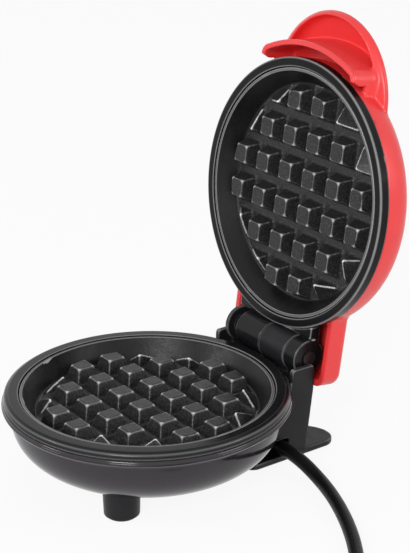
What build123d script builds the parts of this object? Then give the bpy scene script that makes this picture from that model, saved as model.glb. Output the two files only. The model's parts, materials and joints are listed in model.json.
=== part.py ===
"""Mini waffle maker, lid open, in millimetres.

The model is laid out with the bowl's axis on x = y = 0, the surface it stands on at z = 0,
the hinge towards +Y and the handle towards -Y.  The lid is drawn closed and then swung open.
Last, everything moves along Y so that the origin is below the middle of the appliance.
"""
from build123d import *
from math import atan2, cos, degrees, pi, radians, sin, sqrt, tan
import os

# Overrun for cuts, and the clearances between pieces
CUT = 1.0
SEAT_GAP = 0.05
SLIDE_GAP = 0.1
SHELL_GAP = 0.3
SWING_GAP = 0.36

# Waffle plates, the same casting below and above; the lip's radius drives every ring and the bowl
LIP_INNER_RADIUS = 54.9
LIP_WIDTH = 1.9
LIP_CROWN = 0.4
FLOOR_DEPTH = 9.0
WALL_RUN = 5.4
PLATE_THICKNESS = 2.5
FLANGE_WIDTH = 2.2
FLANGE_TOP_DEPTH = 1.9
FLANGE_THICKNESS = 1.2
PEG_PITCH = 16.53
PEG_BASE = 12.3
PEG_TOP = 8.2
PEG_HEIGHT = 6.95
PEG_ROW = 6
FIELD_MARGIN = 0.9
FIELD_TAPER = 2.8
PARTIAL_SLOPE = 45.0
PARTIAL_MARGIN = 4.5
POST_RADIUS = 4.2
POST_LENGTH = 6.1
POST_BORE_RADIUS = 1.75
POST_BORE_DEPTH = 5.5

LIP_OUTER_RADIUS = LIP_INNER_RADIUS + LIP_WIDTH
FLOOR_RADIUS = LIP_INNER_RADIUS - WALL_RUN
FLANGE_RADIUS = LIP_OUTER_RADIUS + FLANGE_WIDTH
FIELD_FLOOR_RADIUS = FLOOR_RADIUS - FIELD_MARGIN
FIELD_TOP_RADIUS = FIELD_FLOOR_RADIUS - FIELD_TAPER
WHOLE_PEG_REACH = FLOOR_RADIUS - PARTIAL_MARGIN
PLATE_UNDER_DEPTH = FLOOR_DEPTH + PLATE_THICKNESS
POST_END_DEPTH = PLATE_UNDER_DEPTH + POST_LENGTH

# Trim rings, with the tongue that sits in the bowl's groove
RING_PLATE_GAP = 0.3
RIM_WIDTH = 3.9
SEAM_FLARE = 2.4
TONGUE_WIDTH = 1.2
TONGUE_DEPTH = 1.3
TONGUE_SHOULDER = 1.1
RING_EDGE_BREAK = 0.5
LID_RING_INSET = 0.06
LID_RING_DEPTH = 4.8

RING_INNER_RADIUS = LIP_OUTER_RADIUS + RING_PLATE_GAP
RIM_TOP_RADIUS = RING_INNER_RADIUS + RIM_WIDTH
SEAM_RADIUS = RIM_TOP_RADIUS + SEAM_FLARE
TONGUE_RADIUS = SEAM_RADIUS - TONGUE_SHOULDER - TONGUE_WIDTH
LID_RING_RADIUS = RIM_TOP_RADIUS - LID_RING_INSET

# Heights, from the surface below up to the rims and the top of the lid
RIM_TOP_Z = 42.2
LIP_DROP = 0.6
SEAM_DROP = 3.7
LID_FACE_GAP = 2.1
SHELL_HEIGHT = 21.9
HINGE_RISE = 2.45

PLATE_LIP_Z = RIM_TOP_Z - LIP_DROP
SEAM_Z = RIM_TOP_Z - SEAM_DROP
LID_FACE_Z = RIM_TOP_Z + LID_FACE_GAP
LID_LIP_Z = LID_FACE_Z + LIP_DROP
SHELL_EDGE_Z = LID_FACE_Z + LID_RING_DEPTH
SHELL_TOP_Z = SHELL_EDGE_Z + SHELL_HEIGHT
BASE_SHIELD_TOP_Z = PLATE_LIP_Z - POST_END_DEPTH
LID_SHIELD_LOW_Z = LID_LIP_Z + POST_END_DEPTH

# Bowl, with the band that swells out below the seam
BAND_SWELL = 0.66
BAND_DROP = 1.9
BAND_STEP = 3.56
BAND_HEIGHT = 4.5
BOWL_BOTTOM_Z = 6.0
BOWL_POWER = 2.6
BOWL_WALL = 2.2

BOWL_WIDEST_RADIUS = SEAM_RADIUS + BAND_SWELL
BOWL_WIDEST_Z = SEAM_Z - BAND_DROP
BOWL_EDGE_RADIUS = BOWL_WIDEST_RADIUS - BAND_STEP
BOWL_EDGE_Z = SEAM_Z - BAND_HEIGHT
BOWL_SEAT_RADIUS = RING_INNER_RADIUS + TONGUE_WIDTH / 2

# Lid shell
SHELL_INSET = 0.44
SHELL_POWER = 3.6
SHELL_WALL = 2.3
LID_OPEN_DEG = 98.15

SHELL_EDGE_RADIUS = LID_RING_RADIUS - SHELL_INSET

# Handle: lens-shaped tab over a finger dish, and the brow in front of the ring
TAB_SET_IN = 16.6
TAB_RADIUS = 38.5
TAB_FACE_RISE = 8.0
TAB_FACE_SLOPE = 2.1
TAB_CROWN = 10.2
TAB_POWER = 2.0
TAB_WALL = 2.0
TAB_ROOF = 2.2
DISH_OFFSET = 4.1
DISH_FRONT_WALL = 2.2
DISH_LIP = 0.6
BROW_REACH = 8.2
BROW_THICKNESS = 2.6
BROW_HALF_WIDTH = 32.3
BROW_CORNER = 3.0
END_WALL_SET_IN = 5.1
END_WALL_HEIGHT = 7.7
END_CORNER_DEPTH = 2.0
END_CORNER_HEIGHT = 3.7

TAB_CENTRE_Y = TAB_SET_IN - SHELL_EDGE_RADIUS
TAB_FACE_Z = SHELL_EDGE_Z + TAB_FACE_RISE
TAB_EDGE_Z = TAB_FACE_Z + TAB_FACE_SLOPE
TAB_TOP_Z = TAB_EDGE_Z + TAB_CROWN
DISH_CENTRE_Y = TAB_CENTRE_Y - DISH_OFFSET
DISH_RADIUS = TAB_RADIUS - DISH_OFFSET - DISH_FRONT_WALL
BROW_OUTER_RADIUS = SHELL_EDGE_RADIUS + BROW_REACH
BROW_ROOM_Z = TAB_TOP_Z - BROW_THICKNESS * 2 - TAB_WALL
END_WALL_Y = END_WALL_SET_IN - SHELL_EDGE_RADIUS
END_WALL_TOP_Z = LID_FACE_Z + END_WALL_HEIGHT

# Hinge knuckles, along X
KNUCKLE_RADIUS = 8.5
HINGE_STANDOFF = 0.62
HUB_RADIUS = 5.0
HUB_SHOW = 5.6
PIN_RADIUS = 2.0
PIN_FIT = 0.05
PIN_HEAD_RADIUS = 3.4
PIN_HEAD_THICKNESS = 0.75
HINGE_HALF_WIDTH = 26.0
EAR_THICKNESS = 2.2
MIDDLE_SEAM = 0.3
RIGHT_EAR_WIDTH = 8.0
KNUCKLE_EDGE = 0.5
CLIP_THICKNESS = 0.8

HINGE_Y = LID_RING_RADIUS + KNUCKLE_RADIUS + HINGE_STANDOFF
HINGE_Z = LID_FACE_Z + HINGE_RISE
LID_KNUCKLE_LEFT_X = EAR_THICKNESS + HUB_SHOW - HINGE_HALF_WIDTH
BASE_KNUCKLE_WIDTH = HINGE_HALF_WIDTH - RIGHT_EAR_WIDTH - MIDDLE_SEAM

# Rear stand
STAND_MARGIN = 1.0
STAND_WALL = 2.4
STAND_TOP_DROP = 1.25
STAND_FRONT_INSET = 5.66
STAND_STEP_RISE = 0.4
STAND_BACK_RISE = 0.94
STAND_HEEL_RUN = 4.0
STAND_BEND_DROP = 5.0
STAND_NOSE_RUN = 33.0
STAND_CORNER = 3.0
DECK_GAP = 0.25
DECK_THICKNESS = 2.4
FOOT_GAP_Z = 0.8
FOOT_PLATE_THICKNESS = 3.0
FOOT_PLATE_TOE = 4.0
FOOT_PLATE_HEEL = 15.0
FOOT_PLATE_CORNER = 7.0
HEEL_NOTCH_RADIUS = 24.1
HEEL_NOTCH_DEPTH = 7.0
ARCH_ROOM = 0.1
ARCH_CORNER = 1.5

STAND_HALF_WIDTH = HINGE_HALF_WIDTH + STAND_MARGIN + STAND_WALL
STAND_TOP_Z = HINGE_Z - STAND_TOP_DROP
STAND_FRONT_Y = BOWL_WIDEST_RADIUS - STAND_FRONT_INSET
STAND_STEP_Z = SEAM_Z + STAND_STEP_RISE
STAND_BACK_Y = HINGE_Y + STAND_BACK_RISE
STAND_HEEL_Y = STAND_BACK_Y - STAND_HEEL_RUN
STAND_NOSE_Y = STAND_BACK_Y - STAND_NOSE_RUN
DECK_TOP_Z = HINGE_Z - KNUCKLE_RADIUS - DECK_GAP
STAND_BEND_Z = DECK_TOP_Z - STAND_BEND_DROP
STAND_FLOOR_Z = FOOT_GAP_Z + FOOT_PLATE_THICKNESS
FOOT_PLATE_FRONT_Y = STAND_NOSE_Y - FOOT_PLATE_TOE
FOOT_PLATE_BACK_Y = STAND_BACK_Y + FOOT_PLATE_HEEL
HEEL_NOTCH_Y = FOOT_PLATE_BACK_Y - HEEL_NOTCH_DEPTH

# Neck behind the lid shell, which straddles the stand when the lid is open
NECK_MARGIN = 2.0
NECK_WALL = 3.1
NECK_ROOF = 2.5
NECK_BACK_GAP = 12.0
NECK_LENGTH = 43.0
NECK_RISE = 0.9
NECK_HEIGHT = 11.0
NECK_CORNER = 7.0
NECK_TOP_ROUND = 3.6

NECK_HALF_WIDTH = STAND_HALF_WIDTH + NECK_MARGIN + NECK_WALL
NECK_END_Y = STAND_BACK_Y + NECK_BACK_GAP
NECK_START_Y = NECK_END_Y - NECK_LENGTH
NECK_LOW_Z = SHELL_EDGE_Z + NECK_RISE
NECK_TOP_Z = NECK_LOW_Z + NECK_HEIGHT

# Black panel that carries the lid's knuckles
PANEL_RISE = 1.7
PANEL_PLATE_THICKNESS = 2.2
PANEL_INSET = 1.8
LID_SCREW_X_SHARE = 0.7885
LID_SCREW_INSET = 2.39
LID_BOSS_RADIUS = 2.6

PANEL_LOW_Z = LID_FACE_Z + PANEL_RISE
PANEL_INNER_RADIUS = SHELL_EDGE_RADIUS - SHELL_WALL - PANEL_INSET
LID_SCREW_X = HINGE_HALF_WIDTH * LID_SCREW_X_SHARE
LID_SCREW_Y = sqrt((PANEL_INNER_RADIUS + LID_SCREW_INSET) ** 2 - LID_SCREW_X ** 2)

# Front feet and soft pads
FOOT_PLACE_SHARES = (0.503, -0.6141)
FOOT_TOP_RADIUS = 8.3
FOOT_BOTTOM_RADIUS = 7.8
FOOT_TAPER_HEIGHT = 6.0
FOOT_ROOT_HEIGHT = 11.0
PAD_RADIUS = 6.6
PAD_THICKNESS = 2.2
REAR_PAD_INSET = 9.4
REAR_PAD_SET_IN = 10.0
REAR_PAD_RADIUS = 5.0
REAR_PAD_THICKNESS = 1.6

FOOT_X = FLOOR_RADIUS * FOOT_PLACE_SHARES[0]
FOOT_Y = FLOOR_RADIUS * FOOT_PLACE_SHARES[1]
REAR_PAD_X = STAND_HALF_WIDTH - REAR_PAD_INSET
REAR_PAD_Y = FOOT_PLATE_BACK_Y - REAR_PAD_SET_IN

# Screws
LONG_SCREW_RADIUS = 1.7
LONG_SCREW_HEAD_RADIUS = 3.2
LONG_SCREW_HEAD_HEIGHT = 2.2
SCREW_TIP_ROOM = 0.7
REAR_SCREW_PLACE_SHARES = (0.3232, 0.7677)
HEAD_REST = 0.2
REAR_HEAD_REST = 1.2
HEAD_ROOM = 0.4
SCREW_ROOM = 0.3
SHORT_SCREW_RADIUS = 1.7
SHORT_SCREW_HEAD_RADIUS = 3.0
SHORT_SCREW_HEAD_HEIGHT = 1.8
LID_SCREW_RADIUS = 1.2
LID_SCREW_HEAD_RADIUS = 1.9
LID_SCREW_HEAD_HEIGHT = 1.0
LID_SCREW_LENGTH = 7.0
LID_SCREW_SINK = 1.1

FRONT_SEAT_Z = PAD_THICKNESS + LONG_SCREW_HEAD_HEIGHT + HEAD_REST
REAR_SEAT_Z = LONG_SCREW_HEAD_HEIGHT + REAR_HEAD_REST
REAR_SCREW_X = FLOOR_RADIUS * REAR_SCREW_PLACE_SHARES[0]
REAR_SCREW_Y = FLOOR_RADIUS * REAR_SCREW_PLACE_SHARES[1]
COVER_SCREWS = [
    (-FOOT_X, FOOT_Y), (FOOT_X, FOOT_Y), (-REAR_SCREW_X, REAR_SCREW_Y), (REAR_SCREW_X, REAR_SCREW_Y)]

# Heating, control and wiring
ELEMENT_RING_SHARE = 0.5455
ELEMENT_TUBE_RADIUS = 2.9
ELEMENT_ARC_DEG = 310.0
ELEMENT_PIN_RADIUS = 1.2
ELEMENT_PIN_LENGTH = 5.0
SHIELD_INSET = 2.7
SHIELD_THICKNESS = 0.8
SHIELD_RIM_HEIGHT = 4.0
SHIELD_PASS_RADIUS = 3.6
THERMOSTAT_RADIUS = 7.0
THERMOSTAT_HEIGHT = 5.2
THERMOSTAT_TAB_LENGTH = 6.0
THERMOSTAT_TAB_WIDTH = 4.0
THERMOSTAT_TAB_THICKNESS = 0.8
FUSE_RADIUS = 1.8
FUSE_LENGTH = 12.0
FUSE_LEAD_RADIUS = 0.5
FUSE_LEAD_LENGTH = 7.0
FUSE_GAP = 6.7
TERMINAL_LENGTH = 20.0
TERMINAL_WIDTH = 10.0
TERMINAL_HEIGHT = 7.0
TERMINAL_SHARE = 0.606
TERMINAL_RISE = 6.6
TERMINAL_HOLE_RADIUS = 1.4
TERMINAL_POST_RADIUS = 2.5
WIRE_RADIUS = 0.9
WIRE_SPREAD_SHARE = 1.2
LEAD_RUN = 4.0
WIRE_PORT_RADIUS = 4.0
WIRE_PORT_BACK = 11.0

ELEMENT_RING_RADIUS = FLOOR_RADIUS * ELEMENT_RING_SHARE
SHIELD_RADIUS = FLOOR_RADIUS - SHIELD_INSET
FUSE_Y = -THERMOSTAT_RADIUS - FUSE_RADIUS - FUSE_GAP
TERMINAL_Y = FLOOR_RADIUS * TERMINAL_SHARE
TERMINAL_Z = BOWL_BOTTOM_Z + TERMINAL_RISE
WIRE_PORT_Y = TERMINAL_Y + TERMINAL_WIDTH / 2 + WIRE_PORT_BACK

# Indicator on the lid
LENS_RADIUS = 4.0
LENS_FLANGE_RADIUS = 5.5
LENS_FLANGE_THICKNESS = 1.0
LENS_SHARE = 0.595
LENS_DROP = 0.1
LENS_LENGTH = 5.3
LENS_EDGE = 0.8
LAMP_RADIUS = 2.4
LAMP_HEIGHT = 2.1
LAMP_LEAD_SHARE = 0.6

LENS_Y = SHELL_EDGE_RADIUS * LENS_SHARE
LENS_TOP_Z = SHELL_TOP_Z - LENS_DROP
LENS_FLANGE_Z = LENS_TOP_Z - LENS_LENGTH

# Cord, its relief and its plug
CORD_RADIUS = 3.1
ROUTE_ROUND_SHARE = 0.45
RELIEF_LENGTH = 20.0
RELIEF_ROOT_RADIUS = 4.0
RELIEF_TIP_RADIUS = 3.35
RELIEF_FLANGE_RADIUS = 4.05
RELIEF_FLANGE_THICKNESS = 1.5
RELIEF_NECK_RADIUS = 3.7
RIB_THICKNESS = 3.0
RIB_HEIGHT = 5.1
RIB_REACH = 6.5
COIL_RADIUS = 34.5
COIL_PITCH = 6.9
COIL_LIFT = 0.75
TIE_THICKNESS = 0.6
TIE_WIDTH = 8.0
TIE_CORNER = 3.0
TIE_CLEAR = 0.35
PLUG_AXIS_Z = 7.6
PLUG_LENGTH = 30.0
PLUG_WIDTH = 25.0
PLUG_NOSE_WIDTH = 22.0
PLUG_NECK_SHARE = 0.72
PLUG_TAIL_LENGTH = 20.0
PLUG_TAIL_ROOT_RADIUS = 5.0
PLUG_CORNER = 2.4
BLADE_SPACING = 12.7
BLADE_WIDTH = 6.35
BLADE_THICKNESS = 1.5
BLADE_LENGTH = 17.0
BLADE_HOLE_RADIUS = 1.6
BLADE_HOLE_PLACE = 12.0
BLADE_ROOT = 6.0

# Free stretch of the cord, from the relief over the floor to the coil
CORD_ROUTE = [
    (30.5, 53.5, 7.9),
    (40.5, 53.5, 7.9),
    (54.0, 54.4, 3.1),
    (70.0, 49.2, 3.1),
    (86.0, 42.1, 3.1),
    (101.7, 33.5, 3.1),
    (117.0, 23.0, 3.1),
    (129.6, 13.2, 3.1),
    (141.7, 2.7, 3.1),
    (153.2, -8.4, 3.85),
    (162.7, -18.7, 3.85),
]
# Runs of the tail between coil and plug, along the floor, and the share of the way down after each
TAIL_RUNS = [6.0, 16.0, 6.0]
TAIL_DOWN_SHARES = [0.0, 1.0, 1.0]

CORD_EXIT_X, CORD_EXIT_Y, CORD_EXIT_Z = CORD_ROUTE[0]
ARCH_BACK_Y = CORD_EXIT_Y + RELIEF_TIP_RADIUS + ARCH_ROOM
ARCH_TOP_Z = CORD_EXIT_Z + RELIEF_ROOT_RADIUS + ARCH_ROOM
RIB_TOP_Z = CORD_EXIT_Z + RIB_HEIGHT
RIB_FRONT_Y = CORD_EXIT_Y - RIB_REACH

# Shares of the quarter turn at which the oval profiles take their points
OVAL_SHARES = [0.0, 0.12, 0.26, 0.4, 0.55, 0.7, 0.85, 1.0]
LEFT_AND_RIGHT = (-1, 1)

LOW = (Align.CENTER, Align.CENTER, Align.MIN)


def rod(radius, low, high, x=0, y=0):
    """Upright cylinder between two heights."""
    return Pos(x, y, low) * Cylinder(radius, high - low, align=LOW)


def cone(low_radius, high_radius, low, high, x=0, y=0):
    """Upright cone between two heights."""
    return Pos(x, y, low) * Cone(low_radius, high_radius, high - low, align=LOW)


def axle(radius, left, right, y, z):
    """Cylinder along X between two places."""
    return Pos(left, y, z) * Rot(0, 90, 0) * Cylinder(radius, right - left, align=LOW)


def block(x_range, y_range, z_range):
    """Box between pairs of coordinates."""
    corner = (x_range[0], y_range[0], z_range[0])
    size = (x_range[1] - x_range[0], y_range[1] - y_range[0], z_range[1] - z_range[0])
    return Pos(*corner) * Box(*size, align=(Align.MIN, Align.MIN, Align.MIN))


def turned(pairs):
    """Body of revolution from a closed outline of (radius, height) pairs."""
    outline = Polyline(*[(radius, 0, height) for radius, height in pairs], close=True)
    return revolve(make_face(outline.edges()), axis=Axis.Z)


def oval_pairs(edge_radius, edge_z, crown_z, power):
    """Points of a quarter oval from its edge to the axis."""
    pairs = []
    for share in OVAL_SHARES:
        angle = share * pi / 2
        radius = edge_radius * max(cos(angle), 0) ** (2 / power)
        pairs.append((radius, edge_z + (crown_z - edge_z) * sin(angle) ** (2 / power)))
    pairs[-1] = (0, crown_z)
    return pairs


def oval_body(edge_radius, edge_z, crown_z, power):
    """Solid dome or bowl whose flat mouth lies at the edge height."""
    points = [(radius, 0, z) for radius, z in oval_pairs(edge_radius, edge_z, crown_z, power)]
    rise = 1 if crown_z > edge_z else -1
    curve = Spline(*points, tangents=[(0, 0, rise), (-1, 0, 0)])
    flat = Polyline(points[-1], (0, 0, edge_z), points[0])
    return revolve(make_face(curve.edges() + flat.edges()), axis=Axis.Z)


def bowl_outside(gap=0):
    """Space taken by the bowl and its rim band, grown by a gap."""
    body = oval_body(BOWL_EDGE_RADIUS + gap, BOWL_EDGE_Z, BOWL_BOTTOM_Z - gap, BOWL_POWER)
    return body + rod(BOWL_WIDEST_RADIUS + gap, BOWL_EDGE_Z, STAND_STEP_Z)


def base_bowl():
    """Glossy bowl with its rim band, screw posts and the hole for the leads."""
    outer = oval_body(BOWL_EDGE_RADIUS, BOWL_EDGE_Z, BOWL_BOTTOM_Z, BOWL_POWER)
    band_low_radius = BOWL_WIDEST_RADIUS - RING_EDGE_BREAK
    band = turned([
        (BOWL_SEAT_RADIUS, BOWL_EDGE_Z), (BOWL_EDGE_RADIUS, BOWL_EDGE_Z),
        (band_low_radius, BOWL_WIDEST_Z - RING_EDGE_BREAK * 2), (BOWL_WIDEST_RADIUS, BOWL_WIDEST_Z),
        (BOWL_WIDEST_RADIUS, BOWL_WIDEST_Z + RING_EDGE_BREAK), (SEAM_RADIUS, SEAM_Z),
        (BOWL_SEAT_RADIUS, SEAM_Z)])
    hollow = oval_body(BOWL_EDGE_RADIUS - BOWL_WALL, BOWL_EDGE_Z, BOWL_BOTTOM_Z + BOWL_WALL, BOWL_POWER)
    groove = rod(TONGUE_RADIUS + TONGUE_WIDTH + SLIDE_GAP, SEAM_Z - TONGUE_DEPTH - SLIDE_GAP, SEAM_Z + CUT)
    groove -= rod(TONGUE_RADIUS - SLIDE_GAP, BOWL_EDGE_Z, SEAM_Z + CUT * 2)
    bowl = outer - hollow + band - groove
    post_top = BASE_SHIELD_TOP_Z - SHIELD_THICKNESS
    posts = [rod(POST_RADIUS, BOWL_BOTTOM_Z, post_top, x, y) for x, y in COVER_SCREWS]
    posts += [rod(TERMINAL_POST_RADIUS, BOWL_BOTTOM_Z, TERMINAL_Z, side * TERMINAL_LENGTH / 4, TERMINAL_Y)
              for side in LEFT_AND_RIGHT]
    for post in posts:
        bowl += post & outer
    for x, y in COVER_SCREWS:
        bowl -= rod(LONG_SCREW_RADIUS + SCREW_ROOM, 0, RIM_TOP_Z, x, y)
    port = rod(WIRE_PORT_RADIUS, 0, BOWL_EDGE_Z - BOWL_BOTTOM_Z, 0, WIRE_PORT_Y)
    return bowl - port


def base_trim_ring():
    """Satin ring over the bowl's edge, which traps the plate's flange."""
    shelf_z = PLATE_LIP_Z - FLANGE_TOP_DEPTH + SLIDE_GAP
    shelf_radius = FLANGE_RADIUS + SLIDE_GAP * 2
    ring = turned([
        (RING_INNER_RADIUS, shelf_z), (shelf_radius, shelf_z), (shelf_radius, SEAM_Z),
        (TONGUE_RADIUS, SEAM_Z), (TONGUE_RADIUS, SEAM_Z - TONGUE_DEPTH),
        (TONGUE_RADIUS + TONGUE_WIDTH, SEAM_Z - TONGUE_DEPTH), (TONGUE_RADIUS + TONGUE_WIDTH, SEAM_Z),
        (SEAM_RADIUS - RING_EDGE_BREAK, SEAM_Z), (SEAM_RADIUS - RING_EDGE_BREAK, SEAM_Z + RING_EDGE_BREAK),
        (SEAM_RADIUS, SEAM_Z + RING_EDGE_BREAK * 2),
        ((SEAM_RADIUS * 2 + RIM_TOP_RADIUS) / 3, (SEAM_Z + RIM_TOP_Z) / 2 + RING_EDGE_BREAK),
        (RIM_TOP_RADIUS + RING_EDGE_BREAK, RIM_TOP_Z - RING_EDGE_BREAK / 2),
        (RIM_TOP_RADIUS - RING_EDGE_BREAK, RIM_TOP_Z),
        (RING_INNER_RADIUS + RING_EDGE_BREAK, RIM_TOP_Z), (RING_INNER_RADIUS, RIM_TOP_Z - RING_EDGE_BREAK)])
    return ring


def peg(x, y):
    """One square peg with drafted sides, on the plate's floor."""
    draft = degrees(atan2((PEG_BASE - PEG_TOP) / 2, PEG_HEIGHT))
    return Pos(x, y, -FLOOR_DEPTH) * extrude(Rectangle(PEG_BASE, PEG_BASE), amount=PEG_HEIGHT, taper=draft)


def waffle_plate():
    """Cast plate with its lip at z = 0, pegs upwards and screw posts below."""
    wall_slope = (LIP_INNER_RADIUS - FLOOR_RADIUS) / FLOOR_DEPTH
    under_radius = LIP_OUTER_RADIUS - wall_slope * PLATE_UNDER_DEPTH
    lip_middle = (LIP_INNER_RADIUS + LIP_OUTER_RADIUS) / 2
    flange_low = -FLANGE_TOP_DEPTH - FLANGE_THICKNESS
    plate = turned([
        (0, -FLOOR_DEPTH), (FLOOR_RADIUS, -FLOOR_DEPTH), (LIP_INNER_RADIUS, -LIP_CROWN), (lip_middle, 0),
        (LIP_OUTER_RADIUS, -LIP_CROWN), (LIP_OUTER_RADIUS, -FLANGE_TOP_DEPTH),
        (FLANGE_RADIUS, -FLANGE_TOP_DEPTH), (FLANGE_RADIUS, flange_low), (LIP_OUTER_RADIUS, flange_low),
        (under_radius, -PLATE_UNDER_DEPTH), (0, -PLATE_UNDER_DEPTH)])
    whole_field = cone(FIELD_FLOOR_RADIUS, FIELD_TOP_RADIUS, -FLOOR_DEPTH, PEG_HEIGHT - FLOOR_DEPTH)
    ridge_radius = FIELD_FLOOR_RADIUS - PEG_HEIGHT * tan(radians(PARTIAL_SLOPE))
    ridge_field = cone(FIELD_FLOOR_RADIUS, ridge_radius, -FLOOR_DEPTH, PEG_HEIGHT - FLOOR_DEPTH)
    places = [(index - (PEG_ROW - 1) / 2) * PEG_PITCH for index in range(PEG_ROW)]
    for x in places:
        for y in places:
            reach = sqrt(x * x + y * y)
            if reach < WHOLE_PEG_REACH:
                plate += peg(x, y) & whole_field
            elif reach < WHOLE_PEG_REACH + PEG_BASE / 2:
                plate += peg(x, y) & ridge_field
    for x, y in COVER_SCREWS:
        plate += rod(POST_RADIUS, -POST_END_DEPTH, -PLATE_UNDER_DEPTH, x, y)
        plate -= rod(POST_BORE_RADIUS, -POST_END_DEPTH - CUT, POST_BORE_DEPTH - POST_END_DEPTH, x, y)
    return plate


def heating_element():
    """Bent tube below a plate whose underside is z = 0, with its two cold pins."""
    gap = 360 - ELEMENT_ARC_DEG
    middle_z = -ELEMENT_TUBE_RADIUS - SEAT_GAP
    section = Plane.XZ * Pos(ELEMENT_RING_RADIUS, middle_z) * Circle(ELEMENT_TUBE_RADIUS)
    ring = Rot(0, 0, 90 + gap / 2) * revolve(section, axis=Axis.Z, revolution_arc=ELEMENT_ARC_DEG)
    for side in LEFT_AND_RIGHT:
        x, y = terminal_place(side)
        ring += rod(ELEMENT_PIN_RADIUS, middle_z * 2 - ELEMENT_PIN_LENGTH, middle_z, x, y)
    return ring


def terminal_place(side):
    """Plan position of one of the element's pins."""
    end_deg = degrees(ELEMENT_TUBE_RADIUS / ELEMENT_RING_RADIUS)
    angle = radians(90 + side * ((360 - ELEMENT_ARC_DEG) / 2 + end_deg))
    return ELEMENT_RING_RADIUS * cos(angle), ELEMENT_RING_RADIUS * sin(angle)


def heat_shield():
    """Pressed dish with its flat face up at z = 0 and a rim that turns up."""
    shield = rod(SHIELD_RADIUS, -SHIELD_THICKNESS, SHIELD_RIM_HEIGHT)
    shield -= rod(SHIELD_RADIUS - SHIELD_THICKNESS, 0, SHIELD_RIM_HEIGHT + CUT)
    for x, y in COVER_SCREWS:
        shield -= rod(LONG_SCREW_RADIUS + SCREW_ROOM, -CUT - SHIELD_THICKNESS, CUT, x, y)
    for side in LEFT_AND_RIGHT:
        x, y = terminal_place(side)
        shield -= rod(SHIELD_PASS_RADIUS, -CUT - SHIELD_THICKNESS, CUT, x, y)
    return shield


def foot(side):
    """Round front foot, cut to the bowl, with its screw hole and pad recess."""
    x = side * FOOT_X
    taper_top = BOWL_BOTTOM_Z + FOOT_TAPER_HEIGHT
    body = cone(FOOT_BOTTOM_RADIUS, FOOT_TOP_RADIUS, FOOT_GAP_Z, taper_top, x, FOOT_Y)
    body += rod(FOOT_TOP_RADIUS, taper_top, BOWL_BOTTOM_Z + FOOT_ROOT_HEIGHT, x, FOOT_Y)
    body -= oval_body(BOWL_EDGE_RADIUS, BOWL_EDGE_Z, BOWL_BOTTOM_Z, BOWL_POWER)
    body -= rod(PAD_RADIUS + SLIDE_GAP, -CUT, PAD_THICKNESS, x, FOOT_Y)
    body -= rod(LONG_SCREW_HEAD_RADIUS + HEAD_ROOM, 0, FRONT_SEAT_Z, x, FOOT_Y)
    return body - rod(LONG_SCREW_RADIUS + SCREW_ROOM, 0, BOWL_EDGE_Z, x, FOOT_Y)


def long_screws():
    """Screws from below through feet, stand, bowl and shield into the lower plate."""
    length = BASE_SHIELD_TOP_Z + POST_BORE_DEPTH - SCREW_TIP_ROOM - FRONT_SEAT_Z
    screws = []
    for x, y in COVER_SCREWS:
        seat = FRONT_SEAT_Z if y < 0 else REAR_SEAT_Z
        head = rod(LONG_SCREW_HEAD_RADIUS, seat - LONG_SCREW_HEAD_HEIGHT, seat, x, y)
        head -= block((x - LONG_SCREW_RADIUS, x + LONG_SCREW_RADIUS), (y - SCREW_ROOM, y + SCREW_ROOM),
                      (seat - LONG_SCREW_HEAD_HEIGHT - CUT, seat - LONG_SCREW_HEAD_HEIGHT / 2))
        screws.append(head + rod(LONG_SCREW_RADIUS, seat, seat + length, x, y))
    return screws


def short_screws():
    """Screws that hold the upper shield to the upper plate's posts."""
    seat = LID_SHIELD_LOW_Z + SHIELD_THICKNESS
    tip = LID_SHIELD_LOW_Z - POST_BORE_DEPTH + SCREW_ROOM
    screws = []
    for x, y in COVER_SCREWS:
        head = rod(SHORT_SCREW_HEAD_RADIUS, seat, seat + SHORT_SCREW_HEAD_HEIGHT, x, y)
        screws.append(head + rod(SHORT_SCREW_RADIUS, tip, seat, x, y))
    return screws


def thermostat():
    """Disc thermostat below a plate whose underside is z = 0, with two tabs."""
    body = rod(THERMOSTAT_RADIUS, -THERMOSTAT_HEIGHT - SEAT_GAP, -SEAT_GAP)
    tab_z = -THERMOSTAT_HEIGHT / 2
    for side in LEFT_AND_RIGHT:
        ends = sorted((side * (THERMOSTAT_RADIUS - CUT), side * (THERMOSTAT_RADIUS + THERMOSTAT_TAB_LENGTH)))
        body += block(ends, (-THERMOSTAT_TAB_WIDTH / 2, THERMOSTAT_TAB_WIDTH / 2),
                      (tab_z, tab_z + THERMOSTAT_TAB_THICKNESS))
    return body


def thermal_fuse():
    """Thermal cut-out with its leads, below a plate whose underside is z = 0."""
    z = -FUSE_RADIUS - SEAT_GAP
    lead_end = FUSE_LENGTH / 2 + FUSE_LEAD_LENGTH
    return axle(FUSE_RADIUS, -FUSE_LENGTH / 2, FUSE_LENGTH / 2, FUSE_Y, z) + axle(
        FUSE_LEAD_RADIUS, -lead_end, lead_end, FUSE_Y, z)


def terminal_block():
    """Two-way connector on its posts in the bowl."""
    top = TERMINAL_Z + TERMINAL_HEIGHT
    body = block((-TERMINAL_LENGTH / 2, TERMINAL_LENGTH / 2),
                 (TERMINAL_Y - TERMINAL_WIDTH / 2, TERMINAL_Y + TERMINAL_WIDTH / 2), (TERMINAL_Z, top))
    for side in LEFT_AND_RIGHT:
        x = side * TERMINAL_LENGTH / 4
        body -= rod(TERMINAL_HOLE_RADIUS, top - TERMINAL_HEIGHT / 2, top + CUT, x, TERMINAL_Y)
    return body


def wire(points, bend):
    """Insulated wire along straight runs with rounded corners."""
    path = FilletPolyline(*points, radius=bend)
    start = Vector(*points[0])
    heading = Vector(*points[1]) - start
    return sweep(Plane(origin=start, z_dir=heading) * Circle(WIRE_RADIUS), path=path)


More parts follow.
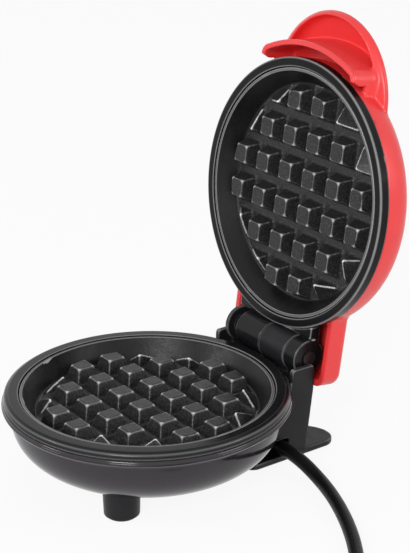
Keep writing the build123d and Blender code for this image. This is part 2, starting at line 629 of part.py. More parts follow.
def base_wiring():
    """Leads from the relief to the connector and on to the element's pins."""
    bend = WIRE_RADIUS * 2
    block_back = TERMINAL_Y + TERMINAL_WIDTH / 2
    lead_z = TERMINAL_Z + TERMINAL_HEIGHT / 2
    relief_end = relief_inner_x()
    pin_top = PLATE_LIP_Z - PLATE_UNDER_DEPTH - (ELEMENT_TUBE_RADIUS + SEAT_GAP) * 2 - ELEMENT_PIN_LENGTH
    wires = []
    for side in LEFT_AND_RIGHT:
        x = side * TERMINAL_LENGTH / 8
        y = CORD_EXIT_Y - side * WIRE_RADIUS * WIRE_SPREAD_SHARE
        wires.append(wire([
            (relief_end, y, CORD_EXIT_Z), (x, y, CORD_EXIT_Z), (x, WIRE_PORT_Y, CORD_EXIT_Z + WIRE_RADIUS),
            (x, WIRE_PORT_Y, lead_z), (x, block_back, lead_z)], bend))
        pin_x, pin_y = terminal_place(side)
        wires.append(wire([
            (-side * TERMINAL_LENGTH / 2, TERMINAL_Y, lead_z),
            (-side * (TERMINAL_LENGTH / 2 + LEAD_RUN), TERMINAL_Y, lead_z),
            (pin_x, pin_y, lead_z), (pin_x, pin_y, pin_top)], bend))
    return wires


def relief_inner_x():
    """Inner end of the strain relief."""
    return CORD_EXIT_X - RELIEF_LENGTH - RELIEF_FLANGE_THICKNESS * 2 - RIB_THICKNESS


def strain_relief():
    """Tapered sleeve on the cord, with its neck in the stand's rib."""
    root = CORD_EXIT_X - RELIEF_LENGTH
    flange = root - RELIEF_FLANGE_THICKNESS
    rib = flange - RIB_THICKNESS
    taper = Pos(root, CORD_EXIT_Y, CORD_EXIT_Z) * Rot(0, 90, 0) * Cone(
        RELIEF_ROOT_RADIUS, RELIEF_TIP_RADIUS, RELIEF_LENGTH, align=LOW)
    neck = axle(RELIEF_NECK_RADIUS, rib, flange, CORD_EXIT_Y, CORD_EXIT_Z)
    flanges = axle(RELIEF_FLANGE_RADIUS, flange, root, CORD_EXIT_Y, CORD_EXIT_Z)
    flanges += axle(RELIEF_FLANGE_RADIUS, relief_inner_x(), rib, CORD_EXIT_Y, CORD_EXIT_Z)
    return taper + neck + flanges


def foot_plate():
    """Flat foot behind the bowl, with a shallow bay between its two heels."""
    length = FOOT_PLATE_BACK_Y - FOOT_PLATE_FRONT_Y
    middle = (FOOT_PLATE_BACK_Y + FOOT_PLATE_FRONT_Y) / 2
    outline = Pos(0, middle) * RectangleRounded(STAND_HALF_WIDTH * 2, length, FOOT_PLATE_CORNER)
    bay = Pos(0, HEEL_NOTCH_Y + HEEL_NOTCH_RADIUS) * Circle(HEEL_NOTCH_RADIUS)
    plate = extrude(outline - bay, amount=FOOT_PLATE_THICKNESS)
    edge = plate.faces().sort_by(Axis.Z)[-1].edges()
    return Pos(0, 0, FOOT_GAP_Z) * chamfer(edge, RING_EDGE_BREAK)


def stand_column():
    """Hollow upright between the foot plate and the hinge, open towards the bowl."""
    side_view = Polyline(
        (0, STAND_NOSE_Y, FOOT_GAP_Z + CUT), (0, STAND_NOSE_Y, STAND_STEP_Z), (0, STAND_FRONT_Y, STAND_STEP_Z),
        (0, STAND_FRONT_Y, STAND_TOP_Z), (0, STAND_BACK_Y, STAND_TOP_Z), (0, STAND_BACK_Y, STAND_BEND_Z),
        (0, STAND_HEEL_Y, FOOT_GAP_Z + CUT), close=True)
    side_face = make_face(side_view.edges())
    column = extrude(side_face, amount=STAND_HALF_WIDTH, dir=(1, 0, 0), both=True)
    top_edges = column.edges().filter_by(Axis.X).group_by(Axis.Z)[-1]
    column = fillet(top_edges, STAND_CORNER)
    inner = STAND_HALF_WIDTH - STAND_WALL
    hollow_view = Polyline(
        (0, STAND_NOSE_Y - CUT, STAND_FLOOR_Z), (0, STAND_NOSE_Y - CUT, DECK_TOP_Z - DECK_THICKNESS),
        (0, STAND_BACK_Y - STAND_WALL, DECK_TOP_Z - DECK_THICKNESS),
        (0, STAND_BACK_Y - STAND_WALL, STAND_BEND_Z), (0, STAND_HEEL_Y - STAND_WALL, STAND_FLOOR_Z), close=True)
    column -= extrude(make_face(hollow_view.edges()), amount=inner, dir=(1, 0, 0), both=True)
    column -= block((-inner, inner), (STAND_NOSE_Y - CUT, STAND_BACK_Y + CUT), (DECK_TOP_Z, STAND_TOP_Z + CUT))
    arch_width = STAND_HALF_WIDTH + CUT
    arch_middle = (STAND_NOSE_Y + ARCH_BACK_Y) / 2
    arch = Pos(0, arch_middle, STAND_FLOOR_Z) * block(
        (inner - CUT, arch_width), (-CUT + STAND_NOSE_Y - arch_middle, ARCH_BACK_Y - arch_middle),
        (0, ARCH_TOP_Z - STAND_FLOOR_Z))
    corner = arch.edges().filter_by(Axis.X).group_by(Axis.Z)[-1].sort_by(Axis.Y)[-1]
    return column - fillet(corner, ARCH_CORNER)


def base_knuckles():
    """Left ear and right-of-middle barrel that stand on the column's deck."""
    deck = DECK_TOP_Z - DECK_THICKNESS
    pieces = None
    for left, right in ((-HINGE_HALF_WIDTH, EAR_THICKNESS - HINGE_HALF_WIDTH), (0, BASE_KNUCKLE_WIDTH)):
        barrel = axle(KNUCKLE_RADIUS, left, right, HINGE_Y, HINGE_Z)
        barrel = chamfer(barrel.edges().filter_by(GeomType.CIRCLE), KNUCKLE_EDGE)
        web = block((left, right), (BOWL_WIDEST_RADIUS + SHELL_GAP * 2, STAND_BACK_Y), (deck, HINGE_Z))
        pieces = barrel + web if pieces is None else pieces + barrel + web
    return pieces


def rear_stand():
    """Stand in one moulding: foot plate, column, screw posts, rib and base knuckles."""
    stand = stand_column() + foot_plate()
    for side in LEFT_AND_RIGHT:
        x = side * REAR_SCREW_X
        post_top = BOWL_BOTTOM_Z + FOOT_ROOT_HEIGHT
        stand += rod(POST_RADIUS + STAND_WALL / 2, FOOT_GAP_Z, post_top, x, REAR_SCREW_Y)
    root = CORD_EXIT_X - RELIEF_LENGTH - RELIEF_FLANGE_THICKNESS
    stand += block((root - RIB_THICKNESS, root), (RIB_FRONT_Y, STAND_HEEL_Y - STAND_WALL / 2),
                   (STAND_FLOOR_Z - CUT, RIB_TOP_Z))
    stand -= bowl_outside(SLIDE_GAP)
    stand -= rod(BOWL_WIDEST_RADIUS + SHELL_GAP, STAND_STEP_Z - CUT, STAND_TOP_Z + CUT)
    stand += base_knuckles()
    rib_left, rib_right = root - RIB_THICKNESS - CUT, root + CUT
    stand -= axle(RELIEF_NECK_RADIUS + SEAT_GAP, rib_left, rib_right, CORD_EXIT_Y, CORD_EXIT_Z)
    stand -= axle(PIN_RADIUS + PIN_FIT, -HINGE_HALF_WIDTH - CUT, BASE_KNUCKLE_WIDTH + CUT, HINGE_Y, HINGE_Z)
    for side in LEFT_AND_RIGHT:
        x = side * REAR_SCREW_X
        stand -= rod(LONG_SCREW_HEAD_RADIUS + HEAD_ROOM, 0, REAR_SEAT_Z, x, REAR_SCREW_Y)
        stand -= rod(LONG_SCREW_RADIUS + SCREW_ROOM, 0, BOWL_EDGE_Z, x, REAR_SCREW_Y)
        stand -= rod(REAR_PAD_RADIUS + SLIDE_GAP, 0, REAR_PAD_THICKNESS, side * REAR_PAD_X, REAR_PAD_Y)
    return stand


def hinge_pin():
    """Headed pin through all knuckles."""
    tip = -HINGE_HALF_WIDTH - SLIDE_GAP - CLIP_THICKNESS
    head = HINGE_HALF_WIDTH + SLIDE_GAP
    pin = axle(PIN_RADIUS, tip, head, HINGE_Y, HINGE_Z)
    return pin + axle(PIN_HEAD_RADIUS, head, head + PIN_HEAD_THICKNESS, HINGE_Y, HINGE_Z)


def pin_clip():
    """Washer pressed on the pin's left end."""
    left = -HINGE_HALF_WIDTH - SLIDE_GAP - CLIP_THICKNESS
    right = -HINGE_HALF_WIDTH - SLIDE_GAP
    disc = axle(PIN_HEAD_RADIUS, left, right, HINGE_Y, HINGE_Z)
    return disc - axle(PIN_RADIUS, left - CUT, right + CUT, HINGE_Y, HINGE_Z)


def lid_trim_ring():
    """Black ring round the lid's mouth, which carries the upper plate's flange."""
    ledge_z = LID_LIP_Z + FLANGE_TOP_DEPTH
    wall_radius = FLANGE_RADIUS + SLIDE_GAP * 2
    tongue_out = SHELL_EDGE_RADIUS - TONGUE_WIDTH / 2 - SLIDE_GAP - RING_EDGE_BREAK
    ring = turned([
        (RING_INNER_RADIUS, LID_FACE_Z + RING_EDGE_BREAK), (RING_INNER_RADIUS + RING_EDGE_BREAK, LID_FACE_Z),
        (LID_RING_RADIUS - RING_EDGE_BREAK * 2, LID_FACE_Z),
        (LID_RING_RADIUS, LID_FACE_Z + RING_EDGE_BREAK * 2),
        (LID_RING_RADIUS, SHELL_EDGE_Z), (tongue_out, SHELL_EDGE_Z), (tongue_out, SHELL_EDGE_Z + TONGUE_DEPTH),
        (wall_radius, SHELL_EDGE_Z + TONGUE_DEPTH), (wall_radius, ledge_z), (RING_INNER_RADIUS, ledge_z)])
    clear = HINGE_HALF_WIDTH + SHELL_GAP
    return ring - block((-clear, clear), (0, LID_RING_RADIUS), (SHELL_EDGE_Z, NECK_TOP_Z))


def lid_hinge_bracket():
    """Black panel behind the ring, with the lid's two barrels and their small hub."""
    front_edge = HINGE_Y - KNUCKLE_RADIUS - SWING_GAP
    low = SHELL_EDGE_Z + SLIDE_GAP
    high = low + PANEL_PLATE_THICKNESS
    half = HINGE_HALF_WIDTH
    panel = block((-half, half), (0, front_edge), (PANEL_LOW_Z, low))
    plate = block((-half, half), (0, front_edge), (low, high)) - rod(PANEL_INNER_RADIUS, 0, SHELL_TOP_Z)
    bracket = panel - rod(LID_RING_RADIUS, 0, SHELL_TOP_Z) + plate
    ear_inner = EAR_THICKNESS - half
    for left, right in ((LID_KNUCKLE_LEFT_X, -MIDDLE_SEAM), (BASE_KNUCKLE_WIDTH + MIDDLE_SEAM, half)):
        barrel = axle(KNUCKLE_RADIUS, left, right, HINGE_Y, HINGE_Z)
        barrel = chamfer(barrel.edges().filter_by(GeomType.CIRCLE), KNUCKLE_EDGE)
        bracket += barrel
        bracket += block((left, right), (front_edge - CUT, HINGE_Y), (HINGE_Z, high))
    bracket += axle(HUB_RADIUS, ear_inner + SHELL_GAP, LID_KNUCKLE_LEFT_X + CUT, HINGE_Y, HINGE_Z)
    bracket -= axle(PIN_RADIUS + PIN_FIT, -half, half + CUT, HINGE_Y, HINGE_Z)
    bracket -= rod(LID_RING_RADIUS + SLIDE_GAP * 2, 0, low)
    for side in LEFT_AND_RIGHT:
        x = side * LID_SCREW_X
        bracket -= rod(LID_SCREW_RADIUS + SLIDE_GAP, 0, SHELL_TOP_Z, x, LID_SCREW_Y)
        bracket -= rod(LID_SCREW_HEAD_RADIUS + SLIDE_GAP, 0, low + LID_SCREW_SINK, x, LID_SCREW_Y)
    return bracket


def lid_screws():
    """Screws hidden by the ring that hold the bracket to the shell."""
    seat = SHELL_EDGE_Z + SLIDE_GAP + LID_SCREW_SINK
    screws = []
    for side in LEFT_AND_RIGHT:
        x = side * LID_SCREW_X
        head = rod(LID_SCREW_HEAD_RADIUS, seat - LID_SCREW_HEAD_HEIGHT, seat, x, LID_SCREW_Y)
        screws.append(head + rod(LID_SCREW_RADIUS, seat, seat + LID_SCREW_LENGTH, x, LID_SCREW_Y))
    return screws


def tab_body(wall, roof):
    """Half lens above the tab's widest edge, drawn in by a wall and a roof."""
    lens = oval_body(TAB_RADIUS - wall, TAB_EDGE_Z, TAB_TOP_Z - roof, TAB_POWER)
    return Pos(0, TAB_CENTRE_Y, 0) * lens


def brow():
    """Curved wall before the ring, with end walls that reach back to the dome."""
    front = (-BROW_OUTER_RADIUS * 2, END_WALL_Y)
    half = BROW_HALF_WIDTH
    wall = rod(BROW_OUTER_RADIUS, LID_FACE_Z, TAB_EDGE_Z) & block((-half, half), front, (0, TAB_EDGE_Z))
    corners = wall.edges().filter_by(Axis.Z).group_by(Axis.Y)[0]
    wall = fillet(corners, BROW_CORNER)
    wall += block((-half, half), (END_WALL_Y - CUT, TAB_CENTRE_Y), (END_WALL_TOP_Z, TAB_EDGE_Z))
    low_corner = Polyline(
        (-half * 2, END_WALL_Y - END_CORNER_DEPTH, LID_FACE_Z), (-half * 2, END_WALL_Y, LID_FACE_Z),
        (-half * 2, END_WALL_Y, LID_FACE_Z + END_CORNER_HEIGHT), close=True)
    return wall - extrude(make_face(low_corner.edges()), amount=half * 4, dir=(1, 0, 0))


def handle_body():
    """Tab and brow before their dish and room are cut."""
    dish_edge = Pos(0, DISH_CENTRE_Y, TAB_FACE_Z) * Circle(DISH_RADIUS + DISH_LIP)
    tab_edge = Pos(0, TAB_CENTRE_Y, TAB_EDGE_Z) * Circle(TAB_RADIUS)
    return tab_body(0, 0) + loft([dish_edge, tab_edge], ruled=True) + brow()


def handle_cuts():
    """Finger dish under the tab, and the room between the brow and the dome."""
    column = rod(DISH_RADIUS, 0, SHELL_TOP_Z, 0, DISH_CENTRE_Y)
    dish = column & tab_body(TAB_WALL, TAB_ROOF)
    dish += rod(DISH_RADIUS, 0, TAB_EDGE_Z, 0, DISH_CENTRE_Y)
    dish -= rod(BROW_OUTER_RADIUS, 0, SHELL_TOP_Z)
    inner = BROW_HALF_WIDTH - BROW_THICKNESS
    room = rod(BROW_OUTER_RADIUS - BROW_THICKNESS, 0, BROW_ROOM_Z)
    room &= block((-inner, inner), (-BROW_OUTER_RADIUS, TAB_CENTRE_Y), (0, BROW_ROOM_Z))
    return dish, room + rod(SHELL_EDGE_RADIUS - SHELL_WALL / 2, 0, TAB_EDGE_Z)


def lid_shell():
    """Red shell: dome, handle and neck as one moulding, hollow inside."""
    dome = oval_body(SHELL_EDGE_RADIUS, SHELL_EDGE_Z, SHELL_TOP_Z, SHELL_POWER)
    dish, room = handle_cuts()
    handle = handle_body() - dish - room
    neck = block((-NECK_HALF_WIDTH, NECK_HALF_WIDTH), (NECK_START_Y, NECK_END_Y), (NECK_LOW_Z, NECK_TOP_Z))
    back_corners = neck.edges().filter_by(Axis.Z).group_by(Axis.Y)[-1]
    neck = fillet(back_corners, NECK_CORNER)
    neck = fillet(neck.faces().sort_by(Axis.Z)[-1].edges(), NECK_TOP_ROUND)
    shell = dome + neck + handle
    hollow = oval_body(SHELL_EDGE_RADIUS - SHELL_WALL, SHELL_EDGE_Z, SHELL_TOP_Z - SHELL_WALL, SHELL_POWER)
    inner = NECK_HALF_WIDTH - NECK_WALL
    channel = block((-inner, inner), (NECK_START_Y, NECK_END_Y - NECK_WALL),
                    (NECK_LOW_Z - CUT, NECK_TOP_Z - NECK_ROOF))
    channel = fillet(channel.edges().filter_by(Axis.Z).group_by(Axis.Y)[-1], NECK_CORNER - NECK_WALL)
    shell -= hollow
    shell -= channel
    seat_radius = SHELL_EDGE_RADIUS - TONGUE_WIDTH / 2 - RING_EDGE_BREAK
    shell -= rod(seat_radius, 0, SHELL_EDGE_Z + TONGUE_DEPTH + SLIDE_GAP)
    boss_low = SHELL_EDGE_Z + SLIDE_GAP + PANEL_PLATE_THICKNESS
    for side in LEFT_AND_RIGHT:
        x = side * LID_SCREW_X
        shell += rod(LID_BOSS_RADIUS, boss_low, NECK_TOP_Z - NECK_ROOF / 2, x, LID_SCREW_Y)
        shell -= rod(LID_SCREW_RADIUS + SEAT_GAP, 0, boss_low + LID_SCREW_LENGTH - CUT, x, LID_SCREW_Y)
    return shell - rod(LENS_RADIUS + SLIDE_GAP, LENS_FLANGE_Z, SHELL_TOP_Z + CUT, 0, LENS_Y)


def indicator_lens():
    """Clear window through the top of the shell, with its inner flange."""
    lens = rod(LENS_RADIUS, LENS_FLANGE_Z, LENS_TOP_Z, 0, LENS_Y)
    lens = fillet(lens.edges().sort_by(Axis.Z)[-1], LENS_EDGE)
    return lens + rod(LENS_FLANGE_RADIUS, LENS_FLANGE_Z, LENS_FLANGE_Z + LENS_FLANGE_THICKNESS, 0, LENS_Y)


def indicator_lamp():
    """Small lamp on the upper shield, below its window."""
    low = LID_SHIELD_LOW_Z + SHIELD_THICKNESS
    return rod(LAMP_RADIUS, low, low + LAMP_HEIGHT, 0, LENS_Y)


def lid_wiring():
    """Leads from the upper element's pins over the shield to the lamp."""
    lead_z = LID_SHIELD_LOW_Z + SHIELD_THICKNESS + WIRE_RADIUS + SEAT_GAP
    wires = []
    for side in LEFT_AND_RIGHT:
        pin_x, pin_y = terminal_place(side)
        turn = Vector(pin_x * LAMP_LEAD_SHARE, LENS_Y, lead_z)
        pin = Vector(pin_x, pin_y, lead_z)
        end = pin + (turn - pin).normalized() * ELEMENT_PIN_RADIUS
        start = (-side * LAMP_RADIUS, LENS_Y, lead_z)
        wires.append(wire([start, (turn.X, turn.Y, turn.Z), (end.X, end.Y, end.Z)], WIRE_RADIUS * 2))
    return wires


def swept_cord(points):
    """Cord over a route of points, its runs joined by arcs as large as they allow."""
    radii = []
    for before, here, after in zip(points, points[1:], points[2:]):
        run_in = Vector(*here) - Vector(*before)
        run_out = Vector(*after) - Vector(*here)
        turn = radians(run_in.get_angle(run_out))
        radii.append(ROUTE_ROUND_SHARE * min(run_in.length, run_out.length) / tan(turn / 2))
    path = FilletPolyline(*points, radius=radii)
    heading = Vector(*points[1]) - Vector(*points[0])
    tube = sweep(Plane(origin=points[0], z_dir=heading) * Circle(CORD_RADIUS), path=path)
    expected = pi * CORD_RADIUS ** 2 * path.length
    print("cord radii", [round(radius, 1) for radius in radii])
    print("cord length", round(path.length, 1), "volume ratio", round(tube.volume / expected, 4))
    return tube, path.length


def coil_start():
    """Where the coil's first turn starts, and the heading there."""
    end = Vector(*CORD_ROUTE[-1])
    heading = (end - Vector(*CORD_ROUTE[-2])).normalized()
    return end + heading * CORD_RADIUS * 2, heading


def coil_centre():
    """Middle of the coil's first half turn."""
    start, heading = coil_start()
    inward = Vector(heading.Y, -heading.X, 0)
    return start + inward * COIL_RADIUS, inward * -1, heading


def half_turns():
    """Half turns as (first and last place across the coil, first and last height)."""
    low = COIL_LIFT + CORD_RADIUS
    high = low + COIL_PITCH
    wide, step = COIL_RADIUS, COIL_PITCH
    return [
        (wide, -wide, low, low),
        (-wide, wide - step, low, low),
        (wide - step, step - wide, low, high),
        (step - wide, wide, high, high),
        (wide, -wide, high, high),
        (-wide, wide + step, high, high),
    ]


def coil_path():
    """Wire of the coil: straight, six half turns of two arcs each, straight."""
    centre, across, heading = coil_centre()

    def place(along, beside, height):
        flat = centre + across * beside + heading * along
        return Vector(flat.X, flat.Y, height)

    start, _ = coil_start()
    edges = [Line(Vector(*CORD_ROUTE[-1]), start)]
    for first, last, z_first, z_last in half_turns():
        radius = abs(first - last) / 2
        middle = (first + last) / 2
        rise = z_last - z_first
        bulge = sqrt(radius ** 2 + rise ** 2 / 4)
        way = 1 if first > last else -1
        begin = place(0, first, z_first)
        top = place(way * bulge, middle, (z_first + z_last) / 2)
        end = place(0, last, z_last)
        top_heading = end - begin
        edges.append(TangentArc(begin, top, tangent=heading * way))
        edges.append(TangentArc(top, end, tangent=top_heading))
    finish = edges[-1] @ 1
    tail = finish + heading * CORD_RADIUS * 2
    edges.append(Line(finish, tail))
    return edges, tail, heading


def cord_coil():
    """Coiled length of the cord, as one unbroken tube."""
    edges, tail, heading = coil_path()
    path = Wire([edge.edge() for edge in edges])
    begin = Vector(*CORD_ROUTE[-1])
    tube = sweep(Plane(origin=begin, z_dir=heading) * Circle(CORD_RADIUS), path=path)
    samples = 360
    points = [path @ (index / samples) for index in range(samples + 1)]
    step = path.length / samples
    apart = int(CORD_RADIUS * 2 * pi / step) + 1
    pairs = [(i, j) for i in range(samples + 1) for j in range(i + apart, samples + 1)]
    nearest = min((points[i] - points[j]).length for i, j in pairs)
    print("coil length", round(path.length, 1), "least gap", round(nearest - CORD_RADIUS * 2, 2),
          "volume ratio", round(tube.volume / (pi * CORD_RADIUS ** 2 * path.length), 4))
    return tube, path.length


def tail_route():
    """Route of the short tail between coil and plug."""
    _, tail, heading = coil_path()
    points = [tail]
    along = 0
    for run, down_share in zip(TAIL_RUNS, TAIL_DOWN_SHARES):
        along += run
        flat = tail + heading * along
        points.append(Vector(flat.X, flat.Y, tail.Z + (PLUG_AXIS_Z - tail.Z) * down_share))
    return [(point.X, point.Y, point.Z) for point in points]


def cord_tie():
    """Band round the bundle half way along its first turn."""
    centre, across, heading = coil_centre()
    inner = COIL_RADIUS - COIL_PITCH - CORD_RADIUS - TIE_CLEAR
    outer = COIL_RADIUS + CORD_RADIUS + TIE_CLEAR
    low = COIL_LIFT - SEAT_GAP
    high = COIL_LIFT + CORD_RADIUS * 2 + COIL_PITCH + SEAT_GAP
    middle = centre + heading * (inner + outer) / 2
    frame = Plane(origin=(middle.X, middle.Y, (low + high) / 2), x_dir=heading, z_dir=across)
    width, height = outer - inner, high - low
    band = RectangleRounded(width + TIE_THICKNESS * 2, height + TIE_THICKNESS * 2, TIE_CORNER + TIE_THICKNESS)
    band -= RectangleRounded(width, height, TIE_CORNER)
    return extrude(frame * band, amount=TIE_WIDTH / 2, both=True)


def plug():
    """Two-blade plug at the cord's end: moulded body and its blades."""
    end = tail_route()[-1]
    heading = coil_centre()[2]
    frame = Plane(origin=end, x_dir=(0, 0, 1), z_dir=heading)
    tail = Cone(PLUG_TAIL_ROOT_RADIUS - CORD_RADIUS / 2, PLUG_TAIL_ROOT_RADIUS, PLUG_TAIL_LENGTH, align=LOW)
    height = PLUG_AXIS_Z * 2
    neck = RectangleRounded(height * PLUG_NECK_SHARE, PLUG_NOSE_WIDTH * PLUG_NECK_SHARE, PLUG_CORNER)
    full = RectangleRounded(height, PLUG_WIDTH, PLUG_CORNER)
    face = PLUG_TAIL_LENGTH + PLUG_LENGTH
    shoulder = PLUG_TAIL_LENGTH + PLUG_LENGTH / 3
    body = tail + loft([Pos(0, 0, PLUG_TAIL_LENGTH) * neck, Pos(0, 0, shoulder) * full, Pos(0, 0, face) * full],
                       ruled=True)
    blades = []
    for side in LEFT_AND_RIGHT:
        middle = side * BLADE_SPACING / 2
        left, right = middle - BLADE_THICKNESS / 2, middle + BLADE_THICKNESS / 2
        half = BLADE_WIDTH / 2
        blade = block((-half, half), (left, right), (face - BLADE_ROOT, face + BLADE_LENGTH))
        body -= blade
        hole_place = Pos(0, middle, face + BLADE_HOLE_PLACE) * Rot(90, 0, 0)
        hole = hole_place * Cylinder(BLADE_HOLE_RADIUS, BLADE_SPACING / 2)
        blades.append(frame * (blade - hole))
    return frame * body, blades


def flipped(shape, lip_z):
    """Piece drawn for the base, turned over for the lid."""
    return Pos(0, 0, lip_z) * mirror(shape, about=Plane.XY)


def swung_open(shape):
    """Lid piece moved from the closed to the open place."""
    return shape.rotate(Axis((0, HINGE_Y, HINGE_Z), (1, 0, 0)), -LID_OPEN_DEG)


def group(shapes):
    """Several separate solids that share a node."""
    solids = []
    for shape in shapes:
        solids += shape.solids()
    return Compound(solids)


def base_pieces():
    """Pieces that stand still."""
    under_z = PLATE_LIP_Z - PLATE_UNDER_DEPTH
    pieces = {
        "base_bowl": base_bowl(),
        "base_trim_ring": base_trim_ring(),
        "lower_plate": Pos(0, 0, PLATE_LIP_Z) * waffle_plate(),
        "lower_heating_element": Pos(0, 0, under_z) * heating_element(),
        "lower_heat_shield": Pos(0, 0, BASE_SHIELD_TOP_Z) * heat_shield(),
        "thermostat": Pos(0, 0, under_z) * thermostat(),
        "thermal_fuse": Pos(0, 0, under_z) * thermal_fuse(),
        "terminal_block": terminal_block(),
        "base_wiring": group(base_wiring()),
        "base_screws": group(long_screws()),
        "rear_stand": rear_stand(),
        "hinge_pin": hinge_pin(),
        "hinge_pin_clip": pin_clip(),
        "strain_relief": strain_relief(),
    }
    for side, word in zip(LEFT_AND_RIGHT, ("left", "right")):
        pieces["front_foot_" + word] = foot(side)
        pieces["front_pad_" + word] = rod(PAD_RADIUS, 0, PAD_THICKNESS, side * FOOT_X, FOOT_Y)
        pieces["rear_pad_" + word] = rod(REAR_PAD_RADIUS, 0, REAR_PAD_THICKNESS, side * REAR_PAD_X, REAR_PAD_Y)
    return pieces


def lid_pieces():
    """Pieces that swing with the lid, drawn closed."""
    under_depth = LID_LIP_Z + PLATE_UNDER_DEPTH
    return {
        "lid_shell": lid_shell(),
        "lid_trim_ring": lid_trim_ring(),
        "lid_hinge_bracket": lid_hinge_bracket(),
        "upper_plate": flipped(waffle_plate(), LID_LIP_Z),
        "upper_heating_element": flipped(heating_element(), under_depth),
        "upper_heat_shield": flipped(heat_shield(), LID_SHIELD_LOW_Z),
        "shield_screws": group(short_screws()),
        "lid_screws": group(lid_screws()),
        "indicator_lens": indicator_lens(),
        "indicator_lamp": indicator_lamp(),
        "lid_wiring": group(lid_wiring()),
    }


def cord_pieces():
    """Free cord with what is on it."""
    stretch, stretch_length = swept_cord(CORD_ROUTE)
    coil, coil_length = cord_coil()
    tail, tail_length = swept_cord(tail_route())
    plug_body, plug_blades = plug()
    print("whole cord", round(stretch_length + coil_length + tail_length, 1))
    return {
        "power_cord": stretch,
        "cord_coil": coil,
        "cord_tail": tail,
        "cord_tie": cord_tie(),
        "plug_body": plug_body,
        "plug_blades": group(plug_blades),
    }


def main():
    """Write every node as its own file, with the origin below the middle of the appliance."""
    os.makedirs("parts", exist_ok=True)
    own = base_pieces()
    for name, shape in lid_pieces().items():
        own[name] = swung_open(shape)
    boxes = [shape.bounding_box() for shape in own.values()]
    middle_y = (min(box.min.Y for box in boxes) + max(box.max.Y for box in boxes)) / 2
    print("moved along Y by", round(-middle_y, 3))
    for name, shape in {**own, **cord_pieces()}.items():
        export_step(Pos(0, -middle_y, 0) * shape, "parts/" + name + ".step")


if __name__ == "__main__":
    main()
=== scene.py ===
"""Looks of the mini waffle maker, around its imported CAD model.

Forms are drawn in millimetres in the appliance's own layout: the bowl's axis on x = y = 0, the
worktop at z = 0, the hinge towards +Y, and the lid closed.  place() brings them into the frame,
in metres.
"""
import bpy
import json
from math import cos, pi, radians, sin, tan
import numpy as np
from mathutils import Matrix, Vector


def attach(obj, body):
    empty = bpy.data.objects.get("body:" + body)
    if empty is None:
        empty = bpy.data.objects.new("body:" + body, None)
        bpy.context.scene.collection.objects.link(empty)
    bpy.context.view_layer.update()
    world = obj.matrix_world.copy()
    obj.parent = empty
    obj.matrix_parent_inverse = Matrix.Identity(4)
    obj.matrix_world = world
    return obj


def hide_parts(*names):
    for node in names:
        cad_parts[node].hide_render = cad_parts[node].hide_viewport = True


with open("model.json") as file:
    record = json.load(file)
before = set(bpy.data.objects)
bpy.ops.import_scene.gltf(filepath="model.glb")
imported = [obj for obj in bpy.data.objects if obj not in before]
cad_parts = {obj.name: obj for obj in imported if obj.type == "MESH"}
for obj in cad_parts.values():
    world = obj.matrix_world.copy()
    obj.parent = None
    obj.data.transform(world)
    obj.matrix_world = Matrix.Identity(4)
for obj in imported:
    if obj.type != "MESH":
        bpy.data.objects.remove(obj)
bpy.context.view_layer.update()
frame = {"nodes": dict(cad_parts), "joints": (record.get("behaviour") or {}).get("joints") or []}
MM = 0.001

# Layout shared with the solids
HINGE_Y = 70.06
HINGE_Z = 46.75
LID_OPEN = radians(98.15)
SHIFT_Y = frame["joints"][0]["pos_m"][1] / MM - HINGE_Y

# Lid shell: dome, with the rebate that takes the ring
SHELL_RADIUS = 60.5
SHELL_EDGE_Z = 49.1
SHELL_TOP_Z = 71.0
SHELL_POWER = 3.6
SHELL_WALL = 2.3
REBATE_WALL = 1.1
REBATE_DEPTH = 1.4

# Lid shell: finger tab, its dish and the brow over it
TAB_Y = -43.9
TAB_RADIUS = 38.5
TAB_EDGE_Z = 59.2
TAB_CROWN = 10.2
TAB_POWER = 2.0
TAB_WALL = 2.0
TAB_ROOF = 2.2
TAB_FACE_Z = 57.1
UNDERSIDE_SLOPE = 0.9
DISH_Y = -48.0
DISH_RADIUS = 32.2
DISH_LIP = 0.6
BROW_RADIUS = 68.7
BROW_WALL = 2.6
BROW_HALF_WIDTH = 32.3
BROW_ROOM_Z = 62.2
BROW_SIDE = [
    (-75.0, 44.3), (-57.4, 44.3), (-55.4, 48.0), (-55.4, 52.0), (-44.0, 52.0), (-44.0, 59.2),
    (-75.0, 59.2)]

# Lid shell: neck, and the window for the lens
NECK_HALF_WIDTH = 34.5
NECK_START_Y = 40.0
NECK_END_Y = 83.0
NECK_LOW_Z = 50.0
NECK_TOP_Z = 61.0
NECK_CORNER = 7.0
NECK_TOP_ROUND = 3.6
NECK_WALL = 3.1
NECK_ROOF = 2.5
LENS_Y = 36.0
LENS_RADIUS = 4.0
WINDOW_FIT = 0.1
WINDOW_DEPTH = 5.4

# Waffle plates: heights of the two lips, then depths measured from a lip
PLATE_LIP_Z = 41.6
LID_LIP_Z = 44.9
LIP_INNER = 54.9
LIP_OUTER = 56.1
FLANGE_RADIUS = 59.0
FLANGE_TOP = 1.9
FLANGE_THICKNESS = 1.2
PLATE_FLOOR = 9.0
PLATE_FLOOR_RADIUS = 49.5
PLATE_THICKNESS = 2.5

# The pegs stand on a disc of their own; the turned pan reaches under its edge, just below it
DISC_RADIUS = 48.9
DISC_BACK_GAP = 0.3
PAN_OVERLAP = 2.0
PAN_DROP = 0.04
PEG_PITCH = 16.53
PEG_BASE = 12.3
PEG_TOP = 8.2
PEG_HEIGHT = 6.95
PEG_CORNER = 1.0
PEG_ROUND = 0.6
PEG_FOOT_ROUND = 1.1
FIELD_RADIUS = 48.6
FIELD_DRAFT = 0.4
RIDGE_DRAFT = 1.0
WHOLE_PEG_REACH = 45.0
NO_PEG = 9.0

